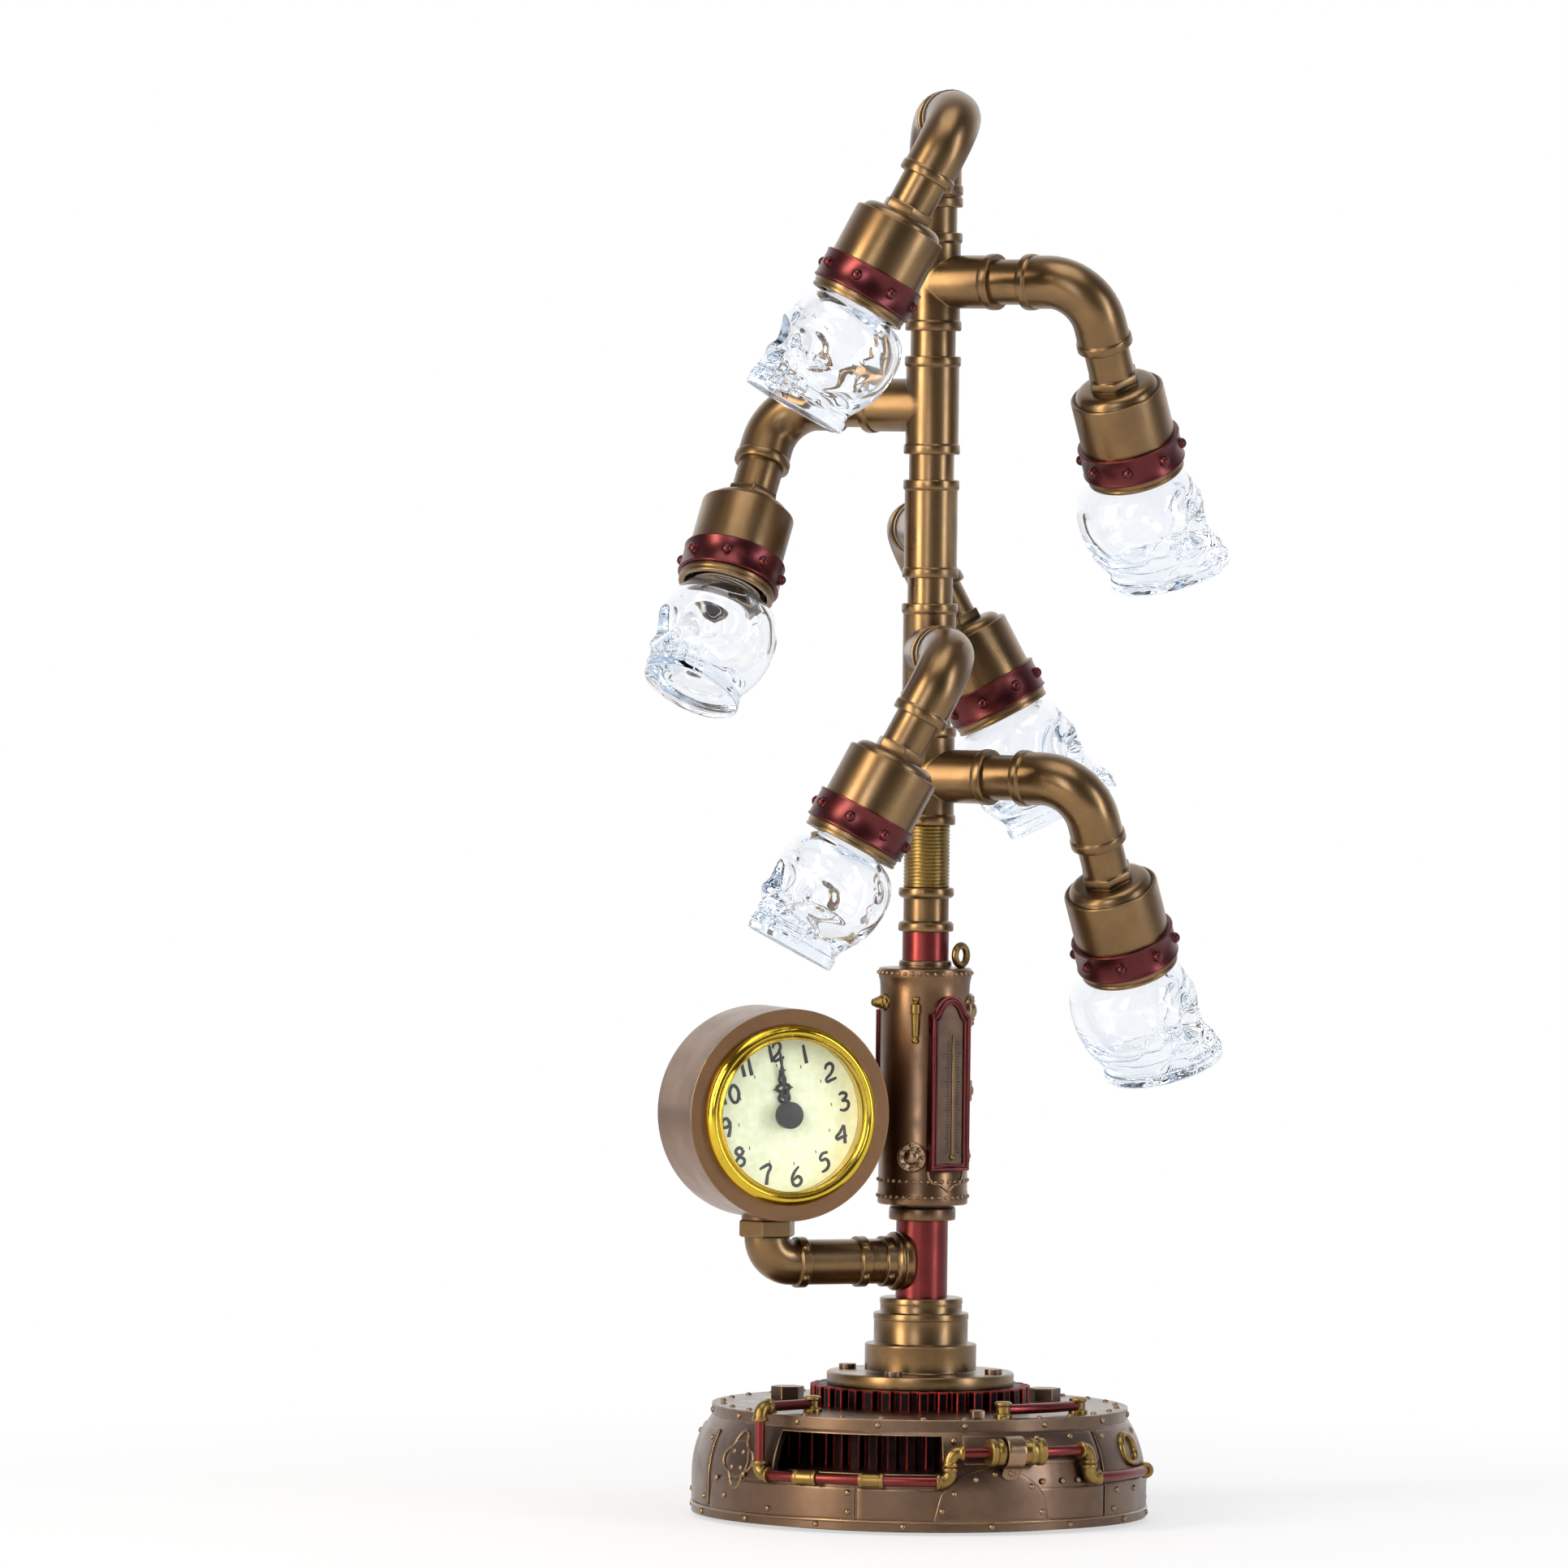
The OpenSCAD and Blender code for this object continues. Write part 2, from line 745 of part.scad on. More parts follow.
// Glass head, open at its crown, with its mouth held in the cup and a flat foot under the jaw
module skull(i) {
  n = skull_sides;
  step = 360 / n;
  hollow_end = 0.8;
  hollow_rows = 8;
  outer_t = [for (k = [0 : skull_rows]) k / skull_rows];
  inner_t = [for (k = [0 : hollow_rows]) hollow_end * (1 - k / hollow_rows)];
  spot = function (r, z, k) [r * sin(k * step), -r * cos(k * step), z];
  rings = concat(
    [[for (k = [0 : n - 1]) spot(mouth_r, mouth_h, k)]],
    [[for (k = [0 : n - 1]) spot(mouth_r, loose_gap, k)]],
    [
      for (t = outer_t)
        let (z = -max(t * skull_h, loose_gap))
        [for (k = [0 : n - 1]) spot(skull_radius(t, k * step), z, k)]
    ],
    [[[0, 0, -skull_h]]],
    [[[0, 0, -hollow_end * skull_h - floor_drop]]],
    [for (t = inner_t) [for (k = [0 : n - 1]) spot(hollow_radius(t), -t * skull_h, k)]],
    [[for (k = [0 : n - 1]) spot(mouth_r - glass_t, mouth_h, k)]]
  );
  points = [for (ring = rings, p = ring) p];
  outer_rings = skull_rows + 3;
  foot_mid = outer_rings * n;
  hollow_mid = foot_mid + 1;
  inner_start = foot_mid + 2;
  inner_rings = hollow_rows + 2;
  last = inner_start + (inner_rings - 1) * n;
  wall = function (first, count) [
    for (j = [0 : count - 2], k = [0 : n - 1])
      let (
        a = first + j * n + k,
        b = first + j * n + (k + 1) % n
      )
      each [[a, b, b + n], [a, b + n, a + n]]
  ];
  foot = [for (k = [0 : n - 1]) [foot_mid - n + k, foot_mid - n + (k + 1) % n, foot_mid]];
  floor = [for (k = [0 : n - 1]) [hollow_mid, inner_start + (k + 1) % n, inner_start + k]];
  rim = [
    for (k = [0 : n - 1])
      let (next = (k + 1) % n)
      each [[last + k, last + next, next], [last + k, next, k]]
  ];
  faces = concat(wall(0, outer_rings), foot, floor, wall(inner_start, inner_rings), rim);
  color([0.86, 0.92, 0.96, 0.4])
    at_head(i)
      translate([0, 0, -lip_z])
        rotate([0, 0, skull_turn(i)])
          polyhedron(points, [for (f = faces) [f[2], f[1], f[0]]]);
}

// Boiler

boiler_wall = 2.4;
low_hoop_h = 3.4;
mid_hoop_up = 6;
mid_hoop_h = 2.6;
top_hoop_h = 3.8;

module boiler() {
  hoop = boiler_r + hoop_out;
  color(dark_bronze)
    difference() {
      union() {
        translate([0, 0, boiler_neck_z])
          cylinder(r = boiler_neck_r, h = boiler_neck_h);
        translate([0, 0, boiler_z])
          cylinder(r = boiler_r, h = boiler_h);
        translate([0, 0, boiler_z])
          cylinder(r = hoop, h = low_hoop_h);
        translate([0, 0, boiler_z + mid_hoop_up])
          cylinder(r = hoop, h = mid_hoop_h);
        translate([0, 0, boiler_top_z - top_hoop_h])
          cylinder(r = hoop, h = top_hoop_h);
        translate([0, 0, boiler_top_z])
          cylinder(r = boiler_cap_r, h = boiler_cap_h);
      }
      translate([0, 0, boiler_neck_z - 1])
        cylinder(r = wire_r, h = sleeve_z - boiler_neck_z + 2);
      translate([0, 0, boiler_z + boiler_wall])
        cylinder(r = boiler_r - boiler_wall, h = boiler_h - 2 * boiler_wall);
    }
}

thermo_top_r = 6.2;
thermo_h = boiler_h - thermo_up - top_hoop_h - thermo_top_gap - thermo_top_r;
thermo_rim = 1.4;
thermo_front = boiler_r + 1.2;
thermo_back = boiler_r - 4;
scale_inset = 0.6;
thermo_z = boiler_z + thermo_up;

// Outline of the thermometer's frame: a tall plate with a round head between two shoulders
module thermo_outline(inset) {
  translate([-thermo_w / 2 + inset, inset])
    square([thermo_w - 2 * inset, thermo_h - 2 * inset]);
  translate([0, thermo_h - inset / 2])
    circle(r = thermo_top_r - inset);
}

// Stands the outline on the boiler between two distances from its axis
module thermo_plate(inset, depth_from, depth_to) {
  rotate([0, 0, thermo_az])
    translate([0, -depth_from, thermo_z])
      rotate([90, 0, 0])
        linear_extrude(depth_to - depth_from)
          thermo_outline(inset);
}

module boiler_cut() {
  translate([0, 0, boiler_z])
    cylinder(r = boiler_r + seat_gap, h = boiler_h);
}

module thermometer_frame() {
  color(red_metal)
    difference() {
      thermo_plate(0, thermo_back, thermo_front);
      thermo_plate(thermo_rim, thermo_back - 1, thermo_front + 1);
      boiler_cut();
    }
}

module thermometer_scale() {
  color(dark_bronze)
    difference() {
      thermo_plate(thermo_rim + seat_gap, thermo_back, thermo_front - scale_inset);
      boiler_cut();
    }
}

// Pedestal and gears

module pedestal() {
  color(bronze)
    difference() {
      union() {
        translate([0, 0, flange_z])
          cylinder(r = flange_r, h = flange_h);
        translate([0, 0, step_a_z])
          cylinder(r = step_a_r, h = step_a_h);
        translate([0, 0, step_b_z])
          cylinder(r = step_b_r, h = step_b_h);
        translate([0, 0, step_c_z])
          cylinder(r = step_c_r, h = step_c_h);
      }
      translate([0, 0, flange_z - 1])
        cylinder(r = wire_r, h = stem_z - flange_z + 2);
      for (az = flange_bolt_az)
        at_azimuth(az, flange_bolt_ring_r, step_a_z - flange_h / 2)
          cylinder(r = bolt_shank_r + run_gap, h = flange_h);
    }
}

module deck_gear() {
  color(black)
    translate([0, 0, deck_z])
      gear(deck_gear_r, deck_gear_teeth, wire_r, deck_gear_h);
}

module window_gear() {
  color(black)
    translate([0, 0, sill_z])
      gear(window_gear_r, window_gear_teeth, window_gear_in_r, window_gear_h);
}

// Plate that carries the gear behind the window
module gear_shelf() {
  color(dark_bronze)
    ring_z(shelf_r, shelf_in_r, sill_z - shelf_t, sill_z);
}

// Base drum

// Solid half section of the drum, drawn in by inset
module drum_outline(inset) {
  translate([0, foot_h - inset])
    square([drum_r - inset, wall_turn_z - foot_h + inset]);
  translate([0, wall_turn_z])
    square([wall_arc_c, wall_run + inset]);
  intersection() {
    translate([wall_arc_c, wall_turn_z])
      circle(r = wall_arc_r - inset);
    translate([wall_arc_c, wall_turn_z])
      square([wall_arc_r, wall_run + inset]);
  }
}

module drum_section() {
  difference() {
    intersection() {
      drum_outline(0);
      square([drum_r, rim_z]);
    }
    drum_outline(wall_t);
  }
  translate([drum_r - wall_t, foot_h])
    square([wall_t + band_out, band_h]);
  translate([drum_r - wall_t - ledge_w, cover_z + cover_t])
    square([ledge_w + wall_t / 2, ledge_t]);
}

module base_shell() {
  color(dark_bronze)
    difference() {
      union() {
        rotate_extrude()
          drum_section();
        translate([-pad_w / 2, pad_y - pad_out - pad_in, pad_z])
          cube([pad_w, pad_out + pad_in, pad_h]);
      }
      translate([0, 0, sill_z])
        rotate([0, 0, window_az - window_half - 90])
          rotate_extrude(angle = 2 * window_half)
            translate([wall_in, 0])
              square([drum_r, rim_z - window_head - sill_z]);
      translate([lead_x, 0, pad_mid_z])
        bar_y(lead_r, wall_in, pad_y + 1);
      translate([switch_x - switch_w / 2, wall_in, pad_mid_z - switch_h / 2])
        cube([switch_w, drum_r, switch_h]);
      for (az = cover_screw_az)
        at_azimuth(az, cover_screw_r, cover_z)
          cylinder(r = screw_shank_r + run_gap, h = cover_t + ledge_t + 1);
      at_azimuth(feed_end_az, 0, feed_low_z)
        bar_y(feed_fit_r + run_gap, -feed_ring_r, 1 + wall_t - drum_r);
    }
}

module base_deck() {
  color(dark_bronze)
    difference() {
      translate([0, 0, rim_z])
        cylinder(r = rim_r, h = rim_h);
      translate([0, 0, rim_z - 1])
        cylinder(r = rim_in_r, h = rim_h - deck_t + 1);
      translate([0, 0, rim_z])
        cylinder(r = wire_r, h = rim_h + 1);
      for (az = deck_bolt_az)
        at_azimuth(az, deck_bolt_ring_r, rim_z)
          cylinder(r = bolt_shank_r + run_gap, h = rim_h + 1);
    }
}

// Cover with standoffs for the board and posts for the shelf
module bottom_cover() {
  cover_top = cover_z + cover_t;
  standoff_x = board_w / 2 - 2 * standoff_r;
  standoff_y = board_d / 2 - 2 * standoff_r;
  color(black)
    difference() {
      union() {
        translate([0, 0, cover_z])
          cylinder(r = cover_r, h = cover_t);
        for (x = [-1, 1], y = [-1, 1])
          translate([x * standoff_x, y * standoff_y, cover_top])
            cylinder(r = standoff_r, h = standoff_h);
        for (az = shelf_post_az)
          at_azimuth(az, shelf_post_ring_r, cover_top)
            cylinder(r = shelf_post_r, h = sill_z - shelf_t - cover_top);
      }
      for (az = cover_screw_az)
        at_azimuth(az, cover_screw_r, cover_z - 1)
          cylinder(r = screw_shank_r + run_gap, h = cover_t + 2);
    }
}

// Felt pad that the lamp stands on
module foot_pad() {
  color(black)
    cylinder(r = foot_pad_r, h = cover_z);
}

bolt_shank_r = 1.4;
bolt_head_r = 2.9;
bolt_head_h = 1.6;
deck_bolt_r = 5.6;
deck_bolt_h = 4.3;
screw_shank_r = 1.2;
screw_head_r = 2.2;
screw_head_h = 0.6;

module bolts_and_screws() {
  color(bronze) {
    for (az = flange_bolt_az)
      at_azimuth(az, flange_bolt_ring_r, step_a_z)
        union() {
          cylinder(r = bolt_head_r, h = bolt_head_h);
          translate([0, 0, -flange_h / 2 + loose_gap])
            cylinder(r = bolt_shank_r, h = flange_h / 2);
        }
    for (az = deck_bolt_az)
      at_azimuth(az, deck_bolt_ring_r, deck_z)
        union() {
          cylinder(r = deck_bolt_r, h = deck_bolt_h, $fn = 6);
          translate([0, 0, -deck_t])
            cylinder(r = bolt_shank_r, h = deck_t + 1);
        }
    for (az = cover_screw_az)
      at_azimuth(az, cover_screw_r, cover_z)
        union() {
          translate([0, 0, -screw_head_h])
            cylinder(r = screw_head_r, h = screw_head_h);
          translate([0, 0, -screw_head_h / 2])
            cylinder(r = screw_shank_r, h = cover_t + ledge_t);
        }
  }
}

// Feed pipes on the drum

// Bar bent round the drum from one azimuth to another
module hoop_bar(az_from, az_to, ring_r, z, r) {
  translate([0, 0, z])
    rotate([0, 0, az_from - 90])
      rotate_extrude(angle = az_to - az_from)
        translate([ring_r, 0])
          circle(r = r);
}

module flip_x(side) {
  if (side < 0)
    mirror([1, 0, 0])
      children();
  else
    children();
}

module flip_z(side) {
  if (side < 0)
    mirror([0, 0, 1])
      children();
  else
    children();
}

// Elbow on the drum that joins a run on its side_x to a riser on its side_z
module drum_elbow(az, z, side_x, side_z) {
  at_azimuth(az, feed_ring_r, z)
    flip_x(side_x)
      flip_z(side_z)
        rotate([90, 0, -90])
          bend(feed_bend_r, feed_fit_r);
}

module riser(az, z_from, z_to) {
  at_azimuth(az, feed_ring_r, z_from)
    cylinder(r = feed_r, h = z_to - z_from);
}

plug_az = feed_turn - asin(feed_plug / feed_ring_r);
valve_half_az = asin(valve_len / 2 / feed_ring_r) - asin(feed_plug / feed_ring_r);

module feed_pipes() {
  color(red_metal) {
    // From the deck tap over the rim and down
    at_azimuth(feed_down_az, 0, feed_deck_z)
      bar_y(feed_r, feed_bend_r - feed_plug - feed_ring_r, tap_r - feed_plug - tap_ring_r);
    riser(feed_down_az, feed_low_z + feed_bend_r - feed_plug, feed_deck_z - feed_bend_r + feed_plug);
    // Under the window, up to the valve and on to the wall
    hoop_bar(feed_down_az + plug_az, feed_up_az - plug_az, feed_ring_r, feed_low_z, feed_r);
    riser(feed_up_az, feed_low_z + feed_bend_r - feed_plug, feed_high_z - feed_bend_r + feed_plug);
    hoop_bar(feed_up_az + plug_az, valve_az - valve_half_az, feed_ring_r, feed_high_z, feed_r);
    hoop_bar(valve_az + valve_half_az, feed_drop_az - plug_az, feed_ring_r, feed_high_z, feed_r);
    riser(feed_drop_az, feed_low_z + feed_bend_r - feed_plug, feed_high_z - feed_bend_r + feed_plug);
    hoop_bar(feed_drop_az + plug_az, feed_end_az - plug_az, feed_ring_r, feed_low_z, feed_r);
    // Short run on the deck
    hoop_bar(deck_run_az[0], deck_run_az[1], deck_run_r, feed_deck_z, feed_r);
  }
}

module deck_tap(az, ring_r) {
  at_azimuth(az, ring_r, deck_z)
    cylinder(r = tap_r, h = 2 * (feed_deck_z - deck_z));
}

lever_az = -33;
lever_drop = 25;
lever_z = boiler_top_z - lever_drop;
lever_h = 16;
lever_w = 2.8;
lever_out = 2.2;
nozzle_az = -89;
nozzle_drop = 11.6;
nozzle_z = boiler_top_z - nozzle_drop;
nozzle_r = 2.2;
gauge_az = -36;
gauge_up = 16.4;
gauge_z = boiler_z + gauge_up;
gauge_r = 4.9;
gauge_out = 1.4;
nozzle_out = 3;
wheel_az = 68;
wheel_turn = 54;
wheel_r = 4.7;
wheel_t = 2.4;

module brass_fittings() {
  color(gold) {
    ring_z(thread_r, pipe_bore_r, thread_z, low_tee_z - half_run + socket_depth);
    deck_tap(feed_down_az, tap_ring_r);
    for (az = deck_run_az)
      deck_tap(az, deck_run_r);
    at_azimuth(feed_down_az, feed_ring_r, feed_deck_z)
      bend(feed_bend_r, feed_fit_r);
    drum_elbow(feed_down_az, feed_low_z, 1, 1);
    drum_elbow(feed_up_az, feed_low_z, -1, 1);
    drum_elbow(feed_up_az, feed_high_z, 1, -1);
    drum_elbow(feed_drop_az, feed_high_z, -1, -1);
    drum_elbow(feed_drop_az, feed_low_z, 1, 1);
    for (az = coupling_az)
      hoop_bar(az, az + coupling_span, feed_ring_r, feed_low_z, feed_fit_r);
    valve();
    wall_inlet();
    boiler_trim();
  }
}

// Valve body with its three rings
module valve() {
  at_azimuth(valve_az, feed_ring_r, feed_high_z)
    rotate([0, 90, 0])
      union() {
        translate([0, 0, -valve_len / 2])
          cylinder(r = valve_r - valve_ring_out, h = valve_len);
        for (z = [-valve_len / 2, -valve_ring_w / 2, valve_len / 2 - valve_ring_w])
          translate([0, 0, z])
            cylinder(r = valve_r, h = valve_ring_w);
      }
}

// End of the feed: an elbow piece that goes through the wall
module wall_inlet() {
  at_azimuth(feed_end_az, 0, feed_low_z)
    union() {
      bar_y(feed_fit_r, -feed_ring_r, wall_t - drum_r);
      translate([0, -feed_ring_r, 0])
        sphere(r = feed_fit_r);
      translate([-feed_bend_r, -feed_ring_r, 0])
        rotate([0, 90, 0])
          cylinder(r = feed_fit_r, h = feed_bend_r);
    }
}

// Small brass pieces on the boiler: lever, gauge cap, nozzle and the hand wheel on its top
module boiler_trim() {
  difference() {
    union() {
      rotate([0, 0, lever_az])
        translate([-lever_w / 2, -boiler_r - lever_out, lever_z])
          cube([lever_w, 2 * lever_out, lever_h]);
      at_azimuth(gauge_az, 0, gauge_z)
        bar_y(gauge_r, -boiler_r - gauge_out, gauge_r - boiler_r);
      at_azimuth(nozzle_az, 0, nozzle_z)
        bar_y(nozzle_r, -boiler_r - nozzle_out, nozzle_r - boiler_r);
    }
    boiler_cut();
  }
  at_azimuth(wheel_az, (boiler_r + boiler_cap_r) / 2, boiler_top_z)
    rotate([0, 0, wheel_turn])
      intersection() {
        translate([-wheel_t / 2, 0, wheel_r - loose_gap])
          rotate([0, 90, 0])
            cylinder(r = wheel_r, h = wheel_t);
        translate([-2 * wheel_r, -2 * wheel_r, 0])
          cube(4 * wheel_r);
      }
}

// Switch and driver

lead_x = 13;
switch_x = -9;
switch_depth = 9;
switch_flange_t = 1;
rocker_half = 4.6;
rocker_h = 4.2;
rocker_pin_r = 0.8;
rocker_pin_in = 3.2;
rocker_wall = 0.8;
rocker_play = 0.9;
rocker_foot = 1.6;
rocker_draw = 1;
rocker_dip = 0.9;
switch_floor = 2;
switch_rim = 0.8;

// Frame of the switch: +Z looks out of the drum's back, the rocker turns about X
module at_switch() {
  translate([switch_x, pad_y, pad_mid_z])
    rotate([-90, 0, 0])
      rotate([0, 0, 90])
        children();
}

module switch_body() {
  w = switch_w - 2 * run_gap;
  h = switch_h - 2 * run_gap;
  color(black)
    at_switch()
      difference() {
        union() {
          translate([-h / 2, -w / 2, -switch_depth])
            cube([h, w, switch_depth]);
          translate([-h / 2 - switch_rim, -w / 2 - switch_rim, 0])
            cube([h + 2 * switch_rim, w + 2 * switch_rim, switch_flange_t]);
        }
        translate([-h / 2 + rocker_wall, -rocker_half - rocker_play, switch_floor - switch_depth])
          cube([h - 2 * rocker_wall, 2 * (rocker_half + rocker_play), switch_depth]);
        translate([-h / 2 - 1, 0, -rocker_pin_in])
          rotate([0, 90, 0])
            cylinder(r = rocker_pin_r + run_gap, h = h + 2);
      }
}

module rocker() {
  w = switch_h - 2 * run_gap - 2 * rocker_wall - 2 * loose_gap;
  face = [
    [-rocker_half, rocker_h],
    [-rocker_half + rocker_draw, -rocker_foot],
    [rocker_half - rocker_draw, -rocker_foot],
    [rocker_half, rocker_h],
    [0, rocker_h - rocker_dip]
  ];
  pin_len = switch_h - 2 * run_gap - 0.2;
  color([0.75, 0.1, 0.08])
    at_switch()
      translate([0, 0, -rocker_pin_in])
        rotate([rocker_travel / 2, 0, 0])
          union() {
            rotate([90, 0, 90])
              translate([0, 0, -w / 2])
                linear_extrude(w)
                  polygon(face);
            translate([-pin_len / 2, 0, 0])
              rotate([0, 90, 0])
                cylinder(r = rocker_pin_r, h = pin_len);
          }
}

module driver_board() {
  top = cover_z + cover_t + standoff_h;
  color([0.1, 0.35, 0.18])
    translate([0, 0, top])
      union() {
        translate([-board_w / 2, -board_d / 2, 0])
          cube([board_w, board_d, board_t]);
        translate([coil_at[0], coil_at[1], board_t / 2])
          cube(coil_size);
        translate([can_x, 0, board_t / 2])
          cylinder(r = can_r, h = can_h);
      }
}

// Clock

clamp_r = 8.6;
clamp_w = 3.6;
clamp_at = [13.4, 22.5, clock_reach - clock_bend_r - 3];
saddle_r = 10.2;
saddle_w = 5.6;

module clock_arm() {
  start = stem_r + 3 - saddle_w;
  end = clock_reach - clock_bend_r;
  color(bronze)
    difference() {
      union() {
        translate([0, 0, clock_arm_z])
          rotate([0, 0, -90]) {
            bar_y(saddle_r, -start - saddle_w, -start);
            bar_y(pipe_r, -end, -start);
            for (at = clamp_at)
              bar_y(clamp_r, -at - clamp_w / 2, -at + clamp_w / 2);
          }
        translate([-clock_reach, 0, clock_arm_z])
          rotate([0, 0, -90])
            mirror([0, 0, 1])
              bend(clock_bend_r, pipe_r);
        translate([-clock_reach, 0, post_nut_z])
          cylinder(r = post_nut_r, h = post_nut_h, $fn = 6);
      }
      translate([0, 0, stem_z - 1])
        cylinder(r = stem_r + seat_gap, h = stem_h + 2);
    }
}

module clock_case() {
  color(bronze)
    difference() {
      union() {
        at_clock()
          translate([0, 0, -case_depth])
            cylinder(r = case_r, h = case_depth);
        translate([-clock_reach, 0, post_nut_z + post_nut_h])
          cylinder(r = post_r, h = post_in);
      }
      at_clock()
        translate([0, 0, -case_bore])
          cylinder(r = insert_r, h = case_bore + 1);
    }
}

// Gold bezel with the sleeve that slides into the case
module clock_bezel() {
  section = [
    [bezel_sight_r, 0],
    [bezel_r, 0],
    [bezel_r, 0.3 * bezel_h],
    [bezel_r - 1, 0.75 * bezel_h],
    [bezel_r - 2.6, bezel_h],
    [bezel_sight_r + 1, bezel_h],
    [bezel_sight_r, lens_back + lens_t + 0.1]
  ];
  color(gold)
    at_insert()
      difference() {
        union() {
          rotate_extrude()
            polygon(section);
          translate([0, 0, -insert_len])
            cylinder(r = insert_r - run_gap, h = insert_len + 0.2);
        }
        translate([0, 0, -insert_len - 1])
          cylinder(r = insert_r - sleeve_t, h = insert_len + 1);
        translate([0, 0, -1])
          cylinder(r = bezel_sight_r, h = bezel_h + 2);
        translate([0, 0, lens_back])
          cylinder(r = lens_r + run_gap, h = lens_t + run_gap);
      }
}

module clock_lens() {
  color([0.9, 0.95, 1, 0.3])
    at_insert()
      translate([0, 0, lens_back])
        cylinder(r = lens_r, h = lens_t);
}

module clock_dial() {
  color([0.93, 0.92, 0.78])
    at_insert()
      ring_z(dial_r, tube_r + run_gap, -dial_in - dial_t, -dial_in);
}

module clock_movement() {
  color(black)
    at_insert()
      difference() {
        translate([0, 0, -movement_back])
          cylinder(r = dial_r, h = movement_t);
        translate([0, 0, -dial_in - dial_t - tube_in - loose_gap])
          cylinder(r = tube_r + run_gap, h = movement_t);
        translate([0, 0, -movement_back - 1])
          cylinder(r = arbor_r + run_gap, h = movement_t);
        translate([cell_off, 0, -movement_back - 1])
          cylinder(r = cell_r + run_gap, h = cell_h + 1);
      }
}

module clock_battery() {
  color([0.75, 0.76, 0.78])
    at_insert()
      translate([cell_off, 0, -movement_back])
        cylinder(r = cell_r, h = cell_h);
}

// Tapered hand from its hub to its tip, with a leaf at the share at of its length
module hand_outline(len, leaf, at) {
  circle(r = hub_r);
  polygon([[-1, 0], [1, 0], [leaf, len * at], [0.3, len], [-0.3, len], [-leaf, len * at]]);
}

module hour_hand() {
  color(black)
    at_insert()
      difference() {
        union() {
          translate([0, 0, hour_z])
            linear_extrude(hand_t)
              hand_outline(hour_len, 2.4, 0.55);
          translate([0, 0, -dial_in - dial_t - tube_in])
            cylinder(r = tube_r, h = hour_z + dial_in + dial_t + tube_in + hand_t / 2);
        }
        translate([0, 0, -dial_in - dial_t - tube_in - 1])
          cylinder(r = arbor_r + run_gap, h = 2 * movement_back);
      }
}

module minute_hand() {
  tail = movement_back + knob_gap + knob_h / 2;
  color(black)
    at_insert()
      union() {
        translate([0, 0, minute_z])
          linear_extrude(hand_t)
            hand_outline(minute_len, 1.3, 0.4);
        translate([0, 0, minute_z + hand_t / 2])
          cylinder(r = cap_r, h = lens_back - minute_z - hand_t / 2 - cap_gap);
        translate([0, 0, -tail])
          cylinder(r = arbor_r, h = tail + minute_z + hand_t / 2);
      }
}

module set_knob() {
  color(black)
    at_insert()
      difference() {
        translate([0, 0, -movement_back - knob_gap - knob_h])
          cylinder(r = knob_r, h = knob_h);
        translate([0, 0, -movement_back - knob_gap - knob_h / 2])
          cylinder(r = arbor_r + seat_gap, h = knob_h);
      }
}

for (i = arms) {
  elbow(i);
  cup(i);
  band(i);
  skull(i);
  led(i);
}
column_tees();
column_nipples();
copper_stem();
boiler();
thermometer_frame();
thermometer_scale();
pedestal();
deck_gear();
window_gear();
gear_shelf();
base_shell();
base_deck();
bottom_cover();
foot_pad();
bolts_and_screws();
feed_pipes();
brass_fittings();
switch_body();
rocker();
driver_board();
clock_arm();
clock_case();
clock_bezel();
clock_lens();
clock_dial();
clock_movement();
clock_battery();
hour_hand();
minute_hand();
set_knob();
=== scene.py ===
# %% [markdown]
# # A pipe desk lamp with a clock
# The lamp is a column of bronze pipe fittings on a riveted drum, with six swivel heads that end in
# glass skulls, and a small clock on a side branch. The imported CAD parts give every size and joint.
# This script dresses them: it keeps the solids whose shape is right, replaces the plain ones by
# finer meshes, and gives every surface a finish made of shader nodes.

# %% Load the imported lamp
import bpy
import math
from mathutils import Matrix, Vector


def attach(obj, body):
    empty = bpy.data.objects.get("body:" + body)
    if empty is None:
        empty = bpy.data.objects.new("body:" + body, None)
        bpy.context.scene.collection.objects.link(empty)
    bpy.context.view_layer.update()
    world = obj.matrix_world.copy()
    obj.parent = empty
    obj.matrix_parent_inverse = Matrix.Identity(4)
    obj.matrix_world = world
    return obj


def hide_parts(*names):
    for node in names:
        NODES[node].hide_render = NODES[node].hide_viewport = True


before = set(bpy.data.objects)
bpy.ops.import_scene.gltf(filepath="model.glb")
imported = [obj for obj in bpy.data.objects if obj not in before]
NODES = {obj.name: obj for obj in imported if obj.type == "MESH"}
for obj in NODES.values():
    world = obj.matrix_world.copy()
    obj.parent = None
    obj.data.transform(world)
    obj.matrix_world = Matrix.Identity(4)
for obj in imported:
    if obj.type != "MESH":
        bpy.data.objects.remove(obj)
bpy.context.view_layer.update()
MM = 0.001

# %% [markdown]
# ## The camera
# The photograph was taken from far away with a long lens, a little left of the clock's front and
# slightly above the middle of the lamp. A camera in Blender could be aimed with a tracking
# constraint, but its place was measured, so it is simpler to write its turn directly: first the
# azimuth, then a small yaw that puts the column right of the middle, a small tilt downwards and a
# slight roll, because the lamp leans a little in the frame.

# %% Camera
VIEW_AZIMUTH = math.radians(-22)
CAMERA_DISTANCE = 4.093
CAMERA_HEIGHT = 0.354
YAW_TO_COLUMN = 0.0118
ROLL = math.radians(0.7)
TILT_DOWN = 0.0264
PHOTO_PIXELS = 1932
FOCAL_PIXELS = 15000

